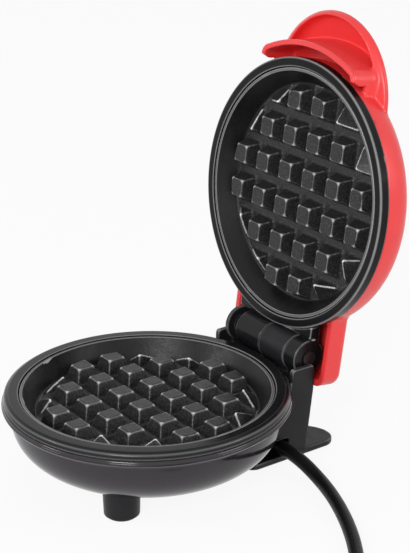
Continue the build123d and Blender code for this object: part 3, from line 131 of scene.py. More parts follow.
# Hinge: spans along x of the lid's barrels, the base's barrels and the lid's small hub
KNUCKLE_RADIUS = 8.5
HINGE_HALF_WIDTH = 26.0
LID_KNUCKLES = [(-18.2, -0.3), (18.0, HINGE_HALF_WIDTH)]
BASE_KNUCKLES = [(-HINGE_HALF_WIDTH, -23.8), (0, 17.7)]
HUB_SPAN = (-23.4, -17.2)
HUB_RADIUS = 5.0
PIN_BORE = 2.05
LID_BORE_SPAN = (-27, 27)
BASE_BORE_SPAN = (-28, 20)

# Lid's hinge bracket
BRACKET_START_Y = 40
BRACKET_LOW_Z = SHELL_EDGE_Z + 0.1
BRACKET_HIGH_Z = SHELL_EDGE_Z + 2.3
BRACKET_PLATE_RADIUS = 56.4
KNUCKLE_GAP = 0.36
ARM_OVERLAP = 0.6
SLAB_LOW_Z = 46.0
SLAB_OVERLAP = 0.6
RING_GAP = 0.64

# Bowl, with the groove and the band that carry its ring
BOWL_RADIUS = 60.5
BOWL_EDGE_Z = 34.0
BOWL_LOW_Z = 6.0
BOWL_POWER = 2.6
BOWL_WALL = 2.2
BOWL_STEPS = 40
BOWL_GROOVE = [(57.7, 38.5), (61.0, 38.5), (61.0, 37.1), (62.4, 37.1), (62.4, 38.5), (63.4, 38.5)]
BOWL_BAND = [(64.06, 37.3, 0.4), (64.06, 36.6, 0.4), (63.3, 35.6, 0.4)]

# Rear stand: sides as (y, z), spans along the axes
STAND_HALF_WIDTH = 29.4
STAND_ROOM_HALF_WIDTH = 27
STAND_LOW_Z = 1.8
STAND_TOP_Z = 45.5
STAND_NOTCH_Z = 38
STAND_SIDE = [(38, 1.8), (38, 38.9), (58.4, 38.9), (58.4, 45.5), (71, 45.5), (71, 33), (67, 1.8)]
STAND_HOLLOW = [(36, 3.8), (36, 35.6), (68.6, 35.6), (68.6, 33), (64.6, 3.8)]
SOLE_Y = (34, 86)
SOLE_Z = (0.8, 3.8)
SOLE_CORNER = 7.0
SCALLOP_Y = 103.1
SCALLOP_RADIUS = 24.1
SEAT_FIT = 0.1
BAND_ROOM_RADIUS = 64.36
ARCH_X = (25, 40)
ARCH_Y = 57
ARCH_TOP_Z = 12
RIB = [(6, 9), (47, 66), (3, 13)]
CHEEK_Y = (64.7, 71)
CHEEK_LOW_Z = 36

# Turned pieces: closed sections as (radius, height, rounding of the corner)
LID_RING = [
    (56.7, 45.9, 0.1), (56.7, 44.3, 0.4), (60.94, 44.3, 0.7), (60.94, 49.0, 0.2),
    (59.8, 49.0, 0.1), (59.8, 50.2, 0.1), (59.2, 50.2, 0.1), (59.2, 46.8, 0.2),
    (57.1, 46.8, 0.2), (57.1, 45.9, 0.1)]
BASE_RING = [
    (56.7, 40.6, 0.1), (57.1, 40.6, 0.1), (57.1, 39.8, 0.2), (59.3, 39.8, 0.1),
    (59.3, 38.5, 0.1), (61.1, 38.5, 0.1), (61.1, 37.2, 0.1), (62.3, 37.2, 0.1),
    (62.3, 38.5, 0.1), (62.9, 38.5, 0.1), (62.9, 38.9, 0.1), (63.4, 39.2, 0.2),
    (62.8, 41.2, 1.4), (61.0, 42.2, 1.4), (56.7, 42.2, 0.4)]
FOOT = [(0, 2.4), (6.7, 2.4), (6.7, 0.8, 0.3), (7.8, 0.8, 0.6), (8.05, 9.0), (8.3, 13.5), (0, 13.5)]
FOOT_X = 24.9
FOOT_Y = -30.4
ON_AXIS = 1e-6
ROUNDING_STEPS = 4

# Cord, in the layout's millimetres; its first point is the strain relief's tip
CORD_RADIUS = 3.1
CORD_ROUTE = [
    (30.5, 53.5, 7.9), (40.5, 53.5, 7.9), (54.0, 54.4, 3.1), (70.0, 49.2, 3.1), (86.0, 42.1, 3.1),
    (101.7, 33.5, 3.1), (117.0, 23.0, 3.1), (129.6, 13.2, 3.1), (141.7, 2.7, 3.1),
    (153.2, -8.4, 3.85), (162.7, -18.7, 3.85)]
COIL_RADIUS = 34.5
COIL_PITCH = 6.9
COIL_LIFT = 0.75
COIL_POINTS = 8
PLUG_AXIS_Z = 7.6
# Runs of the tail in millimetres, each with its share of the way down to the plug's axis
TAIL_RUNS = [(6.0, 0.0), (16.0, 1.0), (6.0, 1.0)]

# Surfaces: features per metre of each noise
MOTTLING = 90
GLOSS_PATCHES = 260
WAVES = 70
COAT_FLECKS = 1700
COAT_PATCHES = 300
COAT_GRAIN = 2400
COAT_PEEL = 900
METAL_LINES = 500
CLEAR_CLOUDS = 400
CLEAR_RIPPLES = 500
FLOOR_CLOUDS = 3
# How much finer a noise is along each axis
FINE_ALONG_X = (12, 1, 1)
FINE_ALONG_Z = (1, 1, 12)
# Least and most roughness, as shares of a material's own or outright
MOULDED_GLOSS = (0.86, 1.14)
METAL_GLOSS = (0.8, 1.25)
COAT_ROUGHNESS = (0.28, 0.42)
# Pointiness at which the painted edge highlight starts and is full, on sculpted and on turned
# meshes
SCULPTED = (0.53, 0.6)
TURNED = (0.507, 0.53)

# Camera, in the layout's millimetres, for a frame of 410 x 553
CAMERA_PLACE = (543.86, -359.91, 354.21)
CAMERA_TARGET = (0.0, 31.31, 87.0)
FOCAL_PIXELS = 1637.4
FRAME_LONG_SIDE = 553
SENSOR = 36.0

# Studio: name, place in metres, size and power of each lamp, and the point that they face
LAMPS = [
    ("key", (0.9, -1.2, 0.8), 0.5, 14.0),
    ("fill", (-0.6, -1.4, 0.8), 0.4, 5.0),
    ("rim", (1.1, 0.75, 0.7), 0.6, 5.0)]
LAMP_TARGET = (0, 0, 0.08)
SKY_STRENGTH = 0.45
BACKGROUND_WHITE = 1.0
FLOOR_HALF_WIDTH = 6.0
FLOOR_WHITE = 0.9


def place(points, closed_lid=False):
    """Layout points in millimetres as frame points in metres, swung open for the lid."""
    out = np.array(points, float).reshape(-1, 3)
    if closed_lid:
        y, z = out[:, 1] - HINGE_Y, out[:, 2] - HINGE_Z
        out[:, 1] = HINGE_Y + y * cos(LID_OPEN) + z * sin(LID_OPEN)
        out[:, 2] = HINGE_Z - y * sin(LID_OPEN) + z * cos(LID_OPEN)
    out[:, 1] += SHIFT_Y
    return out * MM


# Forms as distance fields: negative inside, in millimetres
def union(a, b, radius=0.0):
    """Either form, with a fillet of that radius where they meet."""
    if radius == 0:
        return np.minimum(a, b)
    away = np.hypot(np.maximum(radius - a, 0), np.maximum(radius - b, 0))
    return np.maximum(radius, np.minimum(a, b)) - away


def both(a, b, radius=0.0):
    """What two forms share, with a round edge of that radius."""
    if radius == 0:
        return np.maximum(a, b)
    away = np.hypot(np.maximum(radius + a, 0), np.maximum(radius + b, 0))
    return np.minimum(-radius, np.maximum(a, b)) + away


def cut(a, b, radius=0.0):
    """The first form less the second, with a round edge of that radius."""
    return both(a, -b, radius)


def between(value, low, high):
    """Slab between two values of a coordinate."""
    return np.abs(value - (low + high) / 2) - (high - low) / 2


def disc(across, along, low, high, radius, edge=0.5):
    """Round bar: distance from its axis, place along it, its ends, radius and edge."""
    return both(across - radius, between(along, low, high), edge)


def rounded_box(x, y, z, x_range, y_range, z_range, edge=0.5):
    """Box between pairs of coordinates with round edges."""
    sides = both(between(x, *x_range), between(y, *y_range), edge)
    return both(sides, between(z, *z_range), edge)


def oval(across, up, radius, height, power):
    """Superellipse of revolution: its distance from the surface, nearly."""
    u = np.maximum(np.abs(across) / radius, 1e-3)
    v = np.maximum(up / height, 1e-3)
    q = (u ** power + v ** power) ** (1 / power)
    slope = q ** (1 - power) * np.hypot(u ** (power - 1) / radius, v ** (power - 1) / height)
    return (q - 1) / np.maximum(slope, 1e-4)


def polygon(a, b, corners):
    """Distance from a closed outline of (a, b) corners, negative inside."""
    nearest = np.full(a.shape, 1e9)
    inside = np.zeros(a.shape, bool)
    for (a0, b0), (a1, b1) in zip(corners, corners[1:] + corners[:1]):
        da, db = a1 - a0, b1 - b0
        share = np.clip(((a - a0) * da + (b - b0) * db) / (da * da + db * db), 0, 1)
        nearest = np.minimum(nearest, np.hypot(a - a0 - share * da, b - b0 - share * db))
        if db != 0:
            crossing = a0 + (b - b0) / db * da
            inside ^= ((b0 <= b) != (b1 <= b)) & (a < crossing)
    return np.where(inside, -nearest, nearest)


def field_slope(field, p, reach=0.02):
    """Gradient of a field at points."""
    parts = []
    for axis in range(3):
        step = np.zeros(3)
        step[axis] = reach
        ahead, behind = p + step, p - step
        parts.append((field(*ahead.T) - field(*behind.T)) / (2 * reach))
    return np.stack(parts, 1)


def settled(field, points, step, rounds=3):
    """Points brought onto the surface, by half a cell a round at most."""
    for _ in range(rounds):
        slope = field_slope(field, points)
        size = np.maximum((slope ** 2).sum(1), 0.05)
        move = -(field(*points.T) / size)[:, None] * slope
        length = np.linalg.norm(move, axis=1, keepdims=True)
        points += move * np.minimum(1, step * 0.5 / np.maximum(length, 1e-9))
    return points


def net(field, low, high, step):
    """Vertices and quads of the surface where a field is zero, one vertex for each crossed cell."""
    axes = [np.arange(low[i], high[i] + step, step) for i in range(3)]
    x, y, z = np.meshgrid(*axes, indexing="ij")
    value = field(x, y, z)
    inside = value < 0
    shape = tuple(n - 1 for n in value.shape)
    corners = [(i, j, k) for i in (0, 1) for j in (0, 1) for k in (0, 1)]

    def corner(grid, c):
        return grid[c[0]:c[0] + shape[0], c[1]:c[1] + shape[1], c[2]:c[2] + shape[2]]

    count = sum(corner(inside, c).astype(np.int8) for c in corners)
    cells = np.argwhere((count > 0) & (count < 8))
    held = {c: value[cells[:, 0] + c[0], cells[:, 1] + c[1], cells[:, 2] + c[2]] for c in corners}
    total = np.zeros((len(cells), 3))
    crossings = np.zeros(len(cells))
    for c in corners:
        for axis in range(3):
            if c[axis]:
                continue
            d = tuple(1 if i == axis else c[i] for i in range(3))
            crossed = (held[c] < 0) != (held[d] < 0)
            share = held[c][crossed] / (held[c][crossed] - held[d][crossed])
            at = np.array(c, float) + share[:, None] * (np.array(d) - np.array(c))
            total[crossed] += at
            crossings[crossed] += 1
    points = np.array(low) + (cells + total / crossings[:, None]) * step
    points = settled(field, points, step)
    number = np.full(shape, -1)
    number[tuple(cells.T)] = np.arange(len(cells))
    quads = []
    for axis in range(3):
        one, two = (axis + 1) % 3, (axis + 2) % 3
        first = [slice(None)] * 3
        second = [slice(None)] * 3
        first[axis], second[axis] = slice(0, -1), slice(1, None)
        for i in (one, two):
            first[i] = second[i] = slice(1, -1)
        start, end = inside[tuple(first)], inside[tuple(second)]
        edges = np.argwhere(start != end)
        flip = start[tuple(edges.T)]
        cell = edges.copy()
        cell[:, one] += 1
        cell[:, two] += 1
        ring = []
        for back_one, back_two in ((1, 1), (0, 1), (0, 0), (1, 0)):
            around = cell.copy()
            around[:, one] -= back_one
            around[:, two] -= back_two
            ring.append(number[tuple(around.T)])
        quad = np.stack(ring, 1)
        quad[~flip] = quad[~flip][:, ::-1]
        quads.append(quad)
    return points, np.concatenate(quads)


def new_piece(name, points, faces, body, material, replaced=()):
    """Smooth-shaded mesh piece that rides on a body and stands for CAD nodes."""
    mesh = bpy.data.meshes.new(name)
    mesh.from_pydata(points.tolist(), [], faces if isinstance(faces, list) else faces.tolist())
    mesh.validate()
    mesh.polygons.foreach_set("use_smooth", [True] * len(mesh.polygons))
    piece = bpy.data.objects.new(name, mesh)
    bpy.context.scene.collection.objects.link(piece)
    mesh.materials.append(material)
    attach(piece, body)
    if replaced:
        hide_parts(*replaced)
    return piece


def sculpt(name, field, low, high, step, material, replaced=(), lid=False):
    """Piece from a distance field, in a box from low to high with cells of a step."""
    points, quads = net(field, low, high, step)
    points = place(points, closed_lid=lid)
    return new_piece(name, points, quads, "lid" if lid else "base", material, replaced)


def lathe(name, outline, material, replaced=(), lid=False, steps=192, axis=(0, 0)):
    """Piece turned round an upright axis from a closed outline of (radius, height)."""
    outline = stepped(outline)
    angles = np.arange(steps) * 2 * pi / steps
    ways_x, ways_y = np.cos(angles), np.sin(angles)
    rows = [np.stack([axis[0] + r * ways_x, axis[1] + r * ways_y, np.full(steps, z)], 1)
            for r, z in outline]
    points = place(np.concatenate(rows), closed_lid=lid)
    faces = []
    for row in range(len(outline)):
        after = (row + 1) % len(outline)
        if outline[row][0] < ON_AXIS and outline[after][0] < ON_AXIS:
            continue
        for i in range(steps):
            j = (i + 1) % steps
            faces.append([row * steps + i, row * steps + j, after * steps + j, after * steps + i])
    return new_piece(name, points, faces, "lid" if lid else "base", material, replaced)


def rounded(outline):
    """Closed outline with its corners rounded by the radius that each may bring third."""
    out = []
    count = len(outline)
    for i, here in enumerate(outline):
        point = np.array(here[:2], float)
        into = np.array(outline[i - 1][:2], float) - point
        onward = np.array(outline[(i + 1) % count][:2], float) - point
        a, b = np.linalg.norm(into), np.linalg.norm(onward)
        radius = here[2] if len(here) > 2 else 0.0
        angle = np.arccos(np.clip(into @ onward / (a * b), -1, 1))
        back = min(radius / tan(max(angle, 0.05) / 2), 0.45 * a, 0.45 * b)
        if radius == 0 or back < 1e-3:
            out.append(tuple(point))
            continue
        start, end = point + into / a * back, point + onward / b * back
        for step in range(ROUNDING_STEPS + 1):
            t = step / ROUNDING_STEPS
            out.append(tuple((1 - t) ** 2 * start + 2 * t * (1 - t) * point + t ** 2 * end))
    return out


def stepped(outline, longest=0.5):
    """Closed outline with points added, so that no side is longer than about a step."""
    out = []
    for here, after in zip(outline, outline[1:] + outline[:1]):
        start, end = np.array(here[:2], float), np.array(after[:2], float)
        count = max(1, int(np.linalg.norm(end - start) / longest))
        if max(here[0], after[0]) < ON_AXIS:
            count = 1
        out += [tuple(start + (end - start) * i / count) for i in range(count)]
    return out


# Materials
def nodes_of(name):
    """New node material with its tree, shader and a coordinate source in metres."""
    material = bpy.data.materials.new(name)
    material.use_nodes = True
    tree = material.node_tree
    shader = tree.nodes["Principled BSDF"]
    source = tree.nodes.new("ShaderNodeTexCoord").outputs["Object"]
    return material, tree, shader, source


def noise(tree, source, scale, detail=3.0, stretch=None):
    """Noise of so many features per metre, stretched along an axis where asked."""
    if stretch:
        mapping = tree.nodes.new("ShaderNodeMapping")
        mapping.inputs["Scale"].default_value = stretch
        tree.links.new(source, mapping.inputs["Vector"])
        source = mapping.outputs["Vector"]
    texture = tree.nodes.new("ShaderNodeTexNoise")
    texture.inputs["Scale"].default_value = scale
    texture.inputs["Detail"].default_value = detail
    tree.links.new(source, texture.inputs["Vector"])
    return texture.outputs["Fac"]


def spread(tree, value, low, high, from_low=0.3, from_high=0.7):
    """Noise brought to a range."""
    ramp = tree.nodes.new("ShaderNodeMapRange")
    ramp.inputs["From Min"].default_value = from_low
    ramp.inputs["From Max"].default_value = from_high
    ramp.inputs["To Min"].default_value = low
    ramp.inputs["To Max"].default_value = high
    tree.links.new(value, ramp.inputs["Value"])
    return ramp.outputs["Result"]


def tint(tree, share, first, second):
    """Colour between two, by a share."""
    mix = tree.nodes.new("ShaderNodeMix")
    mix.data_type = "RGBA"
    mix.inputs["A"].default_value = (*first, 1)
    mix.inputs["B"].default_value = (*second, 1)
    tree.links.new(share, mix.inputs["Factor"])
    return mix.outputs["Result"]


def paint_edge_highlights(tree, shader, base, painted_highlight, sharp):
    """Base colour that turns paler by so much on the outer edges: a painted highlight along them.
    """
    edge = tree.nodes.new("ShaderNodeNewGeometry").outputs["Pointiness"]
    total = tree.nodes.new("ShaderNodeMix")
    total.data_type = "RGBA"
    total.blend_type = "ADD"
    total.inputs["Factor"].default_value = 1.0
    tree.links.new(base, total.inputs["A"])
    # painted highlight: convex edges, found by pointiness, are lightened
    highlight_tint = tint(tree, spread(tree, edge, 0, 1, *sharp), (0, 0, 0), (painted_highlight, painted_highlight, painted_highlight))
    tree.links.new(highlight_tint, total.inputs["B"])
    tree.links.new(total.outputs["Result"], shader.inputs["Base Color"])


def bump(tree, height, depth, under=None):
    """Bump of a depth in metres, over another where given."""
    node = tree.nodes.new("ShaderNodeBump")
    node.inputs["Distance"].default_value = depth
    node.inputs["Strength"].default_value = 1.0
    tree.links.new(height, node.inputs["Height"])
    if under:
        tree.links.new(under, node.inputs["Normal"])
    return node.outputs["Normal"]


def moulded(name, colour, shade, roughness, grain=2600.0, depth=0.00001, specular=0.5,
            wave=0.0, painted_highlight=0.0, sharp=SCULPTED):
    """Moulded plastic or rubber: slight mottling, uneven gloss, fine grain and a painted highlight
    on the outer edges.
    """
    material, tree, shader, source = nodes_of(name)
    base = tint(tree, spread(tree, noise(tree, source, MOTTLING), 0, 1), colour, shade)
    paint_edge_highlights(tree, shader, base, painted_highlight, sharp)
    limits = [roughness * share for share in MOULDED_GLOSS]
    gloss = spread(tree, noise(tree, source, GLOSS_PATCHES, 4), *limits)
    tree.links.new(gloss, shader.inputs["Roughness"])
    shader.inputs["Specular IOR Level"].default_value = specular
    normal = bump(tree, noise(tree, source, grain, 2), depth)
    if wave:
        normal = bump(tree, noise(tree, source, WAVES, 1), wave, normal)
    tree.links.new(normal, shader.inputs["Normal"])
    return material


def coated(name, tone, fleck, painted_highlight, sharp, specular):
    """Dark non-stick coating on a casting: orange peel, pale flecks and a painted highlight on the
    outer edges.
    """
    material, tree, shader, source = nodes_of(name)
    flecks = spread(tree, noise(tree, source, COAT_FLECKS, 4), 0, 1, 0.45, 0.7)
    base = tint(tree, flecks, (tone, tone, tone * 1.05), (fleck, fleck, fleck * 1.05))
    paint_edge_highlights(tree, shader, base, painted_highlight, sharp)
    gloss = spread(tree, noise(tree, source, COAT_PATCHES, 4), *COAT_ROUGHNESS)
    tree.links.new(gloss, shader.inputs["Roughness"])
    shader.inputs["Specular IOR Level"].default_value = specular
    fine = bump(tree, noise(tree, source, COAT_GRAIN, 3), 0.00005)
    peel = bump(tree, noise(tree, source, COAT_PEEL, 2), 0.00006, fine)
    tree.links.new(peel, shader.inputs["Normal"])
    return material


def metal(name, colour, shade, roughness, stretch=FINE_ALONG_Z):
    """Drawn or stamped metal with fine lines along one way."""
    material, tree, shader, source = nodes_of(name)
    lines = noise(tree, source, METAL_LINES, 4, stretch)
    base = tint(tree, spread(tree, lines, 0, 1), colour, shade)
    tree.links.new(base, shader.inputs["Base Color"])
    limits = [roughness * share for share in METAL_GLOSS]
    tree.links.new(spread(tree, lines, *limits), shader.inputs["Roughness"])
    shader.inputs["Metallic"].default_value = 1.0
    tree.links.new(bump(tree, lines, 0.00001), shader.inputs["Normal"])
    return material


def clear(name, colour):
    """Moulded clear plastic or glass with a faint ripple."""
    material, tree, shader, source = nodes_of(name)
    darker = [c * 0.8 for c in colour]
    base = tint(tree, noise(tree, source, CLEAR_CLOUDS), colour, darker)
    tree.links.new(base, shader.inputs["Base Color"])
    shader.inputs["Transmission Weight"].default_value = 0.75
    shader.inputs["Roughness"].default_value = 0.12
    shader.inputs["IOR"].default_value = 1.49
    ripple = bump(tree, noise(tree, source, CLEAR_RIPPLES), 0.00002)
    tree.links.new(ripple, shader.inputs["Normal"])
    return material


RED = moulded("red_plastic", (0.82, 0.042, 0.044), (0.79, 0.038, 0.04), 0.33,
              grain=1300.0, depth=0.000006)
GLOSS = moulded("charcoal_gloss", (0.016, 0.0125, 0.0165), (0.019, 0.015, 0.02), 0.12,
                grain=1500.0, depth=0.000004, wave=0.00004)
# The edge shares given below paint a pale highlight along outer edges.
SATIN = moulded("satin_black", (0.006, 0.006, 0.007), (0.009, 0.009, 0.01), 0.2,
                specular=0.2, painted_highlight=0.2, sharp=TURNED)
LID_RIM = moulded("lid_rim_black", (0.004, 0.004, 0.005), (0.006, 0.006, 0.007), 0.18,
                  specular=0.13, painted_highlight=0.22, sharp=TURNED)
BRACKET = moulded("bracket_black", (0.006, 0.006, 0.007), (0.009, 0.009, 0.01), 0.24,
                  specular=0.2, painted_highlight=0.4)
STAND = moulded("stand_grey", (0.012, 0.0115, 0.013), (0.016, 0.015, 0.017), 0.38,
                grain=3000.0, depth=0.00003, specular=0.18, painted_highlight=0.3)
PEGS = coated("peg_coating", 0.011, 0.055, painted_highlight=1.2, sharp=SCULPTED, specular=0.24)
PAN = coated("pan_coating", 0.006, 0.012, painted_highlight=0.4, sharp=TURNED, specular=0.24)
RUBBER = moulded("cord_rubber", (0.005, 0.005, 0.005), (0.008, 0.008, 0.008), 0.38,
                 grain=2200.0, depth=0.00002, specular=0.12)
PIN = moulded("blackened_pin", (0.012, 0.012, 0.013), (0.02, 0.02, 0.021), 0.22, specular=0.3)
PAD = moulded("pad_rubber", (0.02, 0.02, 0.02), (0.03, 0.03, 0.03), 0.7,
              grain=3000.0, depth=0.00004)
NYLON = moulded("nylon", (0.72, 0.69, 0.6), (0.66, 0.62, 0.53), 0.4)
BRAID = moulded("wire_sleeve", (0.68, 0.67, 0.62), (0.5, 0.49, 0.45), 0.6,
                grain=5000.0, depth=0.0001)
STEEL = metal("zinc_steel", (0.6, 0.6, 0.6), (0.5, 0.5, 0.51), 0.3)
DARK_STEEL = metal("dark_steel", (0.08, 0.08, 0.08), (0.055, 0.055, 0.055), 0.3, FINE_ALONG_X)
TUBE = metal("element_steel", (0.36, 0.33, 0.3), (0.25, 0.23, 0.22), 0.4)
SHEET = metal("shield_sheet", (0.72, 0.72, 0.73), (0.62, 0.62, 0.63), 0.35, FINE_ALONG_X)
BRASS = metal("blade_metal", (0.75, 0.66, 0.42), (0.66, 0.57, 0.35), 0.22)
LENS = clear("lens_amber", (0.85, 0.3, 0.08))
LAMP = clear("lamp_glass", (0.9, 0.6, 0.4))


# Lid
def handle_field(x, y, z):
    """Round finger tab and brow, with the dish and the hollow cut into them."""
    across = np.hypot(x, y)
    round_tab, round_dish = np.hypot(x, y - TAB_Y), np.hypot(x, y - DISH_Y)
    to_dish, to_edge = round_dish - DISH_RADIUS - DISH_LIP, TAB_RADIUS - round_tab
    share = np.clip(to_dish / np.maximum(to_dish + to_edge, 0.01), 0, 1)
    underside = TAB_FACE_Z + (TAB_EDGE_Z - TAB_FACE_Z) * share
    crown = oval(round_tab, z - TAB_EDGE_Z, TAB_RADIUS, TAB_CROWN, TAB_POWER)
    tab = both(crown, (underside - z) * UNDERSIDE_SLOPE, 1.1)
    brow = both(across - BROW_RADIUS, np.abs(x) - BROW_HALF_WIDTH, 3.0)
    brow = both(brow, polygon(y, z, BROW_SIDE), 0.8)
    roof = oval(round_tab, z - TAB_EDGE_Z, TAB_RADIUS - TAB_WALL, TAB_CROWN - TAB_ROOF, TAB_POWER)
    dish = both(both(round_dish - DISH_RADIUS, roof, 1.2), BROW_RADIUS - across, 0.8)
    room = both(across - BROW_RADIUS + BROW_WALL, np.abs(x) - BROW_HALF_WIDTH + BROW_WALL, 1.5)
    room = both(room, z - BROW_ROOM_Z, 1.2)
    room = np.minimum(room, both(across - SHELL_RADIUS + SHELL_WALL / 2, z - TAB_EDGE_Z))
    handle = cut(cut(union(tab, brow, 1.5), dish, 0.6), room, 0.6)
    return both(handle, y + SHELL_RADIUS / 2)


def shell_field(x, y, z):
    """Red moulding: dome, neck and handle, hollow, with the ring's rebate and the window."""
    across = np.hypot(x, y)
    dome = oval(across, z - SHELL_EDGE_Z, SHELL_RADIUS, SHELL_TOP_Z - SHELL_EDGE_Z, SHELL_POWER)
    dome = both(dome, SHELL_EDGE_Z - z, 0.4)
    sides = both(np.abs(x) - NECK_HALF_WIDTH, between(y, NECK_START_Y, NECK_END_Y), NECK_CORNER)
    neck = both(both(sides, z - NECK_TOP_Z, NECK_TOP_ROUND), NECK_LOW_Z - z, 0.5)
    body = union(union(dome, neck, 2.0), handle_field(x, y, z), 0.8)
    inner = NECK_HALF_WIDTH - NECK_WALL
    channel = both(np.abs(x) - inner, between(y, NECK_START_Y, NECK_END_Y - NECK_WALL),
                   NECK_CORNER - NECK_WALL)
    channel = both(channel, z - NECK_TOP_Z + NECK_ROOF, 1.0)
    inside = oval(across, z - SHELL_EDGE_Z, SHELL_RADIUS - SHELL_WALL,
                  SHELL_TOP_Z - SHELL_WALL - SHELL_EDGE_Z, SHELL_POWER)
    rebate = both(across - SHELL_RADIUS + REBATE_WALL, z - SHELL_EDGE_Z - REBATE_DEPTH)
    body = cut(cut(body, np.minimum(inside, channel), 0.4), rebate)
    round_lens = np.hypot(x, y - LENS_Y)
    window = both(round_lens - LENS_RADIUS - WINDOW_FIT, SHELL_TOP_Z - WINDOW_DEPTH - z)
    return cut(body, window, 0.3)


def rim_outline(lip_z, inward):
    """Section of a plate's flange, lip and wall; inward is the sense from lip to floor."""
    back = FLANGE_TOP + FLANGE_THICKNESS
    wall = (LIP_INNER - PLATE_FLOOR_RADIUS) / PLATE_FLOOR
    inner = DISC_RADIUS - PAN_OVERLAP
    floor, low = PLATE_FLOOR + PAN_DROP, PLATE_FLOOR + PLATE_THICKNESS
    section = [
        (inner, floor), (PLATE_FLOOR_RADIUS, floor, 1.5), (LIP_INNER, 0, 0.5), (LIP_OUTER, 0, 0.3),
        (LIP_OUTER, FLANGE_TOP, 0.2), (FLANGE_RADIUS, FLANGE_TOP, 0.3), (FLANGE_RADIUS, back, 0.3),
        (LIP_OUTER - (back - FLANGE_TOP) * wall, back, 0.2),
        (LIP_OUTER - (low - FLANGE_TOP) * wall, low, 0.8), (inner, low, 0.2)]
    turned = [(corner[0], lip_z + inward * corner[1], *corner[2:]) for corner in section]
    return rounded(turned if inward > 0 else turned[::-1])


def plate_field(x, y, z):
    """Floor and pegs of a waffle plate, with its lip at z = 0 and its pegs upwards."""
    across = np.hypot(x, y)
    back = -PLATE_FLOOR - PLATE_THICKNESS + DISC_BACK_GAP
    plate = disc(across, z, back, -PLATE_FLOOR, DISC_RADIUS, 0.1)
    draft = (PEG_BASE - PEG_TOP) / 2 / PEG_HEIGHT
    level = z + PLATE_FLOOR
    half = PEG_BASE / 2 - level * draft
    # the middle of the nearest peg stands for every peg at once
    middle_x = (np.round(x / PEG_PITCH - 0.5) + 0.5) * PEG_PITCH
    middle_y = (np.round(y / PEG_PITCH - 0.5) + 0.5) * PEG_PITCH
    near_x, near_y = np.abs(x - middle_x) - half, np.abs(y - middle_y) - half
    reach = np.hypot(middle_x, middle_y)
    slope = 1 / np.hypot(1, draft)
    peg = both(both(near_x * slope, near_y * slope, PEG_CORNER), level - PEG_HEIGHT, PEG_ROUND)
    whole = (across - FIELD_RADIUS + level * FIELD_DRAFT) / np.hypot(1, FIELD_DRAFT)
    ridge = (across - FIELD_RADIUS + level * RIDGE_DRAFT) / np.hypot(1, RIDGE_DRAFT)
    peg = both(peg, np.where(reach < WHOLE_PEG_REACH, whole, ridge), PEG_ROUND)
    peg = np.where(reach < WHOLE_PEG_REACH + PEG_BASE / 2, peg, NO_PEG)
    return union(plate, peg, PEG_FOOT_ROUND)


def bracket_field(x, y, z):
    """Black panel behind the ring with the lid's two barrels and its small hub."""
    across, barrel = np.hypot(x, y), np.hypot(y - HINGE_Y, z - HINGE_Z)
    width = (-HINGE_HALF_WIDTH, HINGE_HALF_WIDTH)
    back = HINGE_Y - KNUCKLE_RADIUS - KNUCKLE_GAP
    slab_z = (SLAB_LOW_Z, BRACKET_LOW_Z + SLAB_OVERLAP)
    slab = rounded_box(x, y, z, width, (BRACKET_START_Y, back), slab_z, 0.3)
    slab = cut(slab, across - SHELL_RADIUS - RING_GAP)
    plate_z = (BRACKET_LOW_Z, BRACKET_HIGH_Z)
    plate = rounded_box(x, y, z, width, (BRACKET_START_Y, back), plate_z, 0.3)
    plate = cut(plate, across - BRACKET_PLATE_RADIUS)
    body = union(slab, plate, 0.2)
    arm_y, arm_z = (back - ARM_OVERLAP, HINGE_Y), (HINGE_Z, BRACKET_HIGH_Z)
    for span in LID_KNUCKLES:
        body = union(body, disc(barrel, x, *span, KNUCKLE_RADIUS, 0.7), 0.3)
        body = union(body, rounded_box(x, y, z, span, arm_y, arm_z, 0.3), 0.3)
    body = union(body, disc(barrel, x, *HUB_SPAN, HUB_RADIUS, 0.3), 0.4)
    return cut(body, disc(barrel, x, *LID_BORE_SPAN, PIN_BORE, 0.1), 0.3)


def lid_pieces():
    """Everything seen on the lid."""
    sculpt("lid_shell_looks", shell_field, (-64, -84, 43), (64, 85, 73), 0.8, RED,
           ["lid_shell"], lid=True)

    def upper(x, y, z):
        return plate_field(x, y, LID_LIP_Z - z)

    sculpt("upper_pegs_looks", upper, (-50, -50, 45.5), (50, 50, 57), 0.6, PEGS,
           ["upper_plate"], lid=True)
    lathe("upper_pan_looks", rim_outline(LID_LIP_Z, 1), PAN,
          ["upper_plate"], lid=True)
    sculpt("lid_bracket_looks", bracket_field, (-27, 38, 37), (27, 80, 56), 0.5, BRACKET,
           ["lid_hinge_bracket"], lid=True)
    lathe("lid_ring_looks", rounded(LID_RING), LID_RIM,
          ["lid_trim_ring"], lid=True)


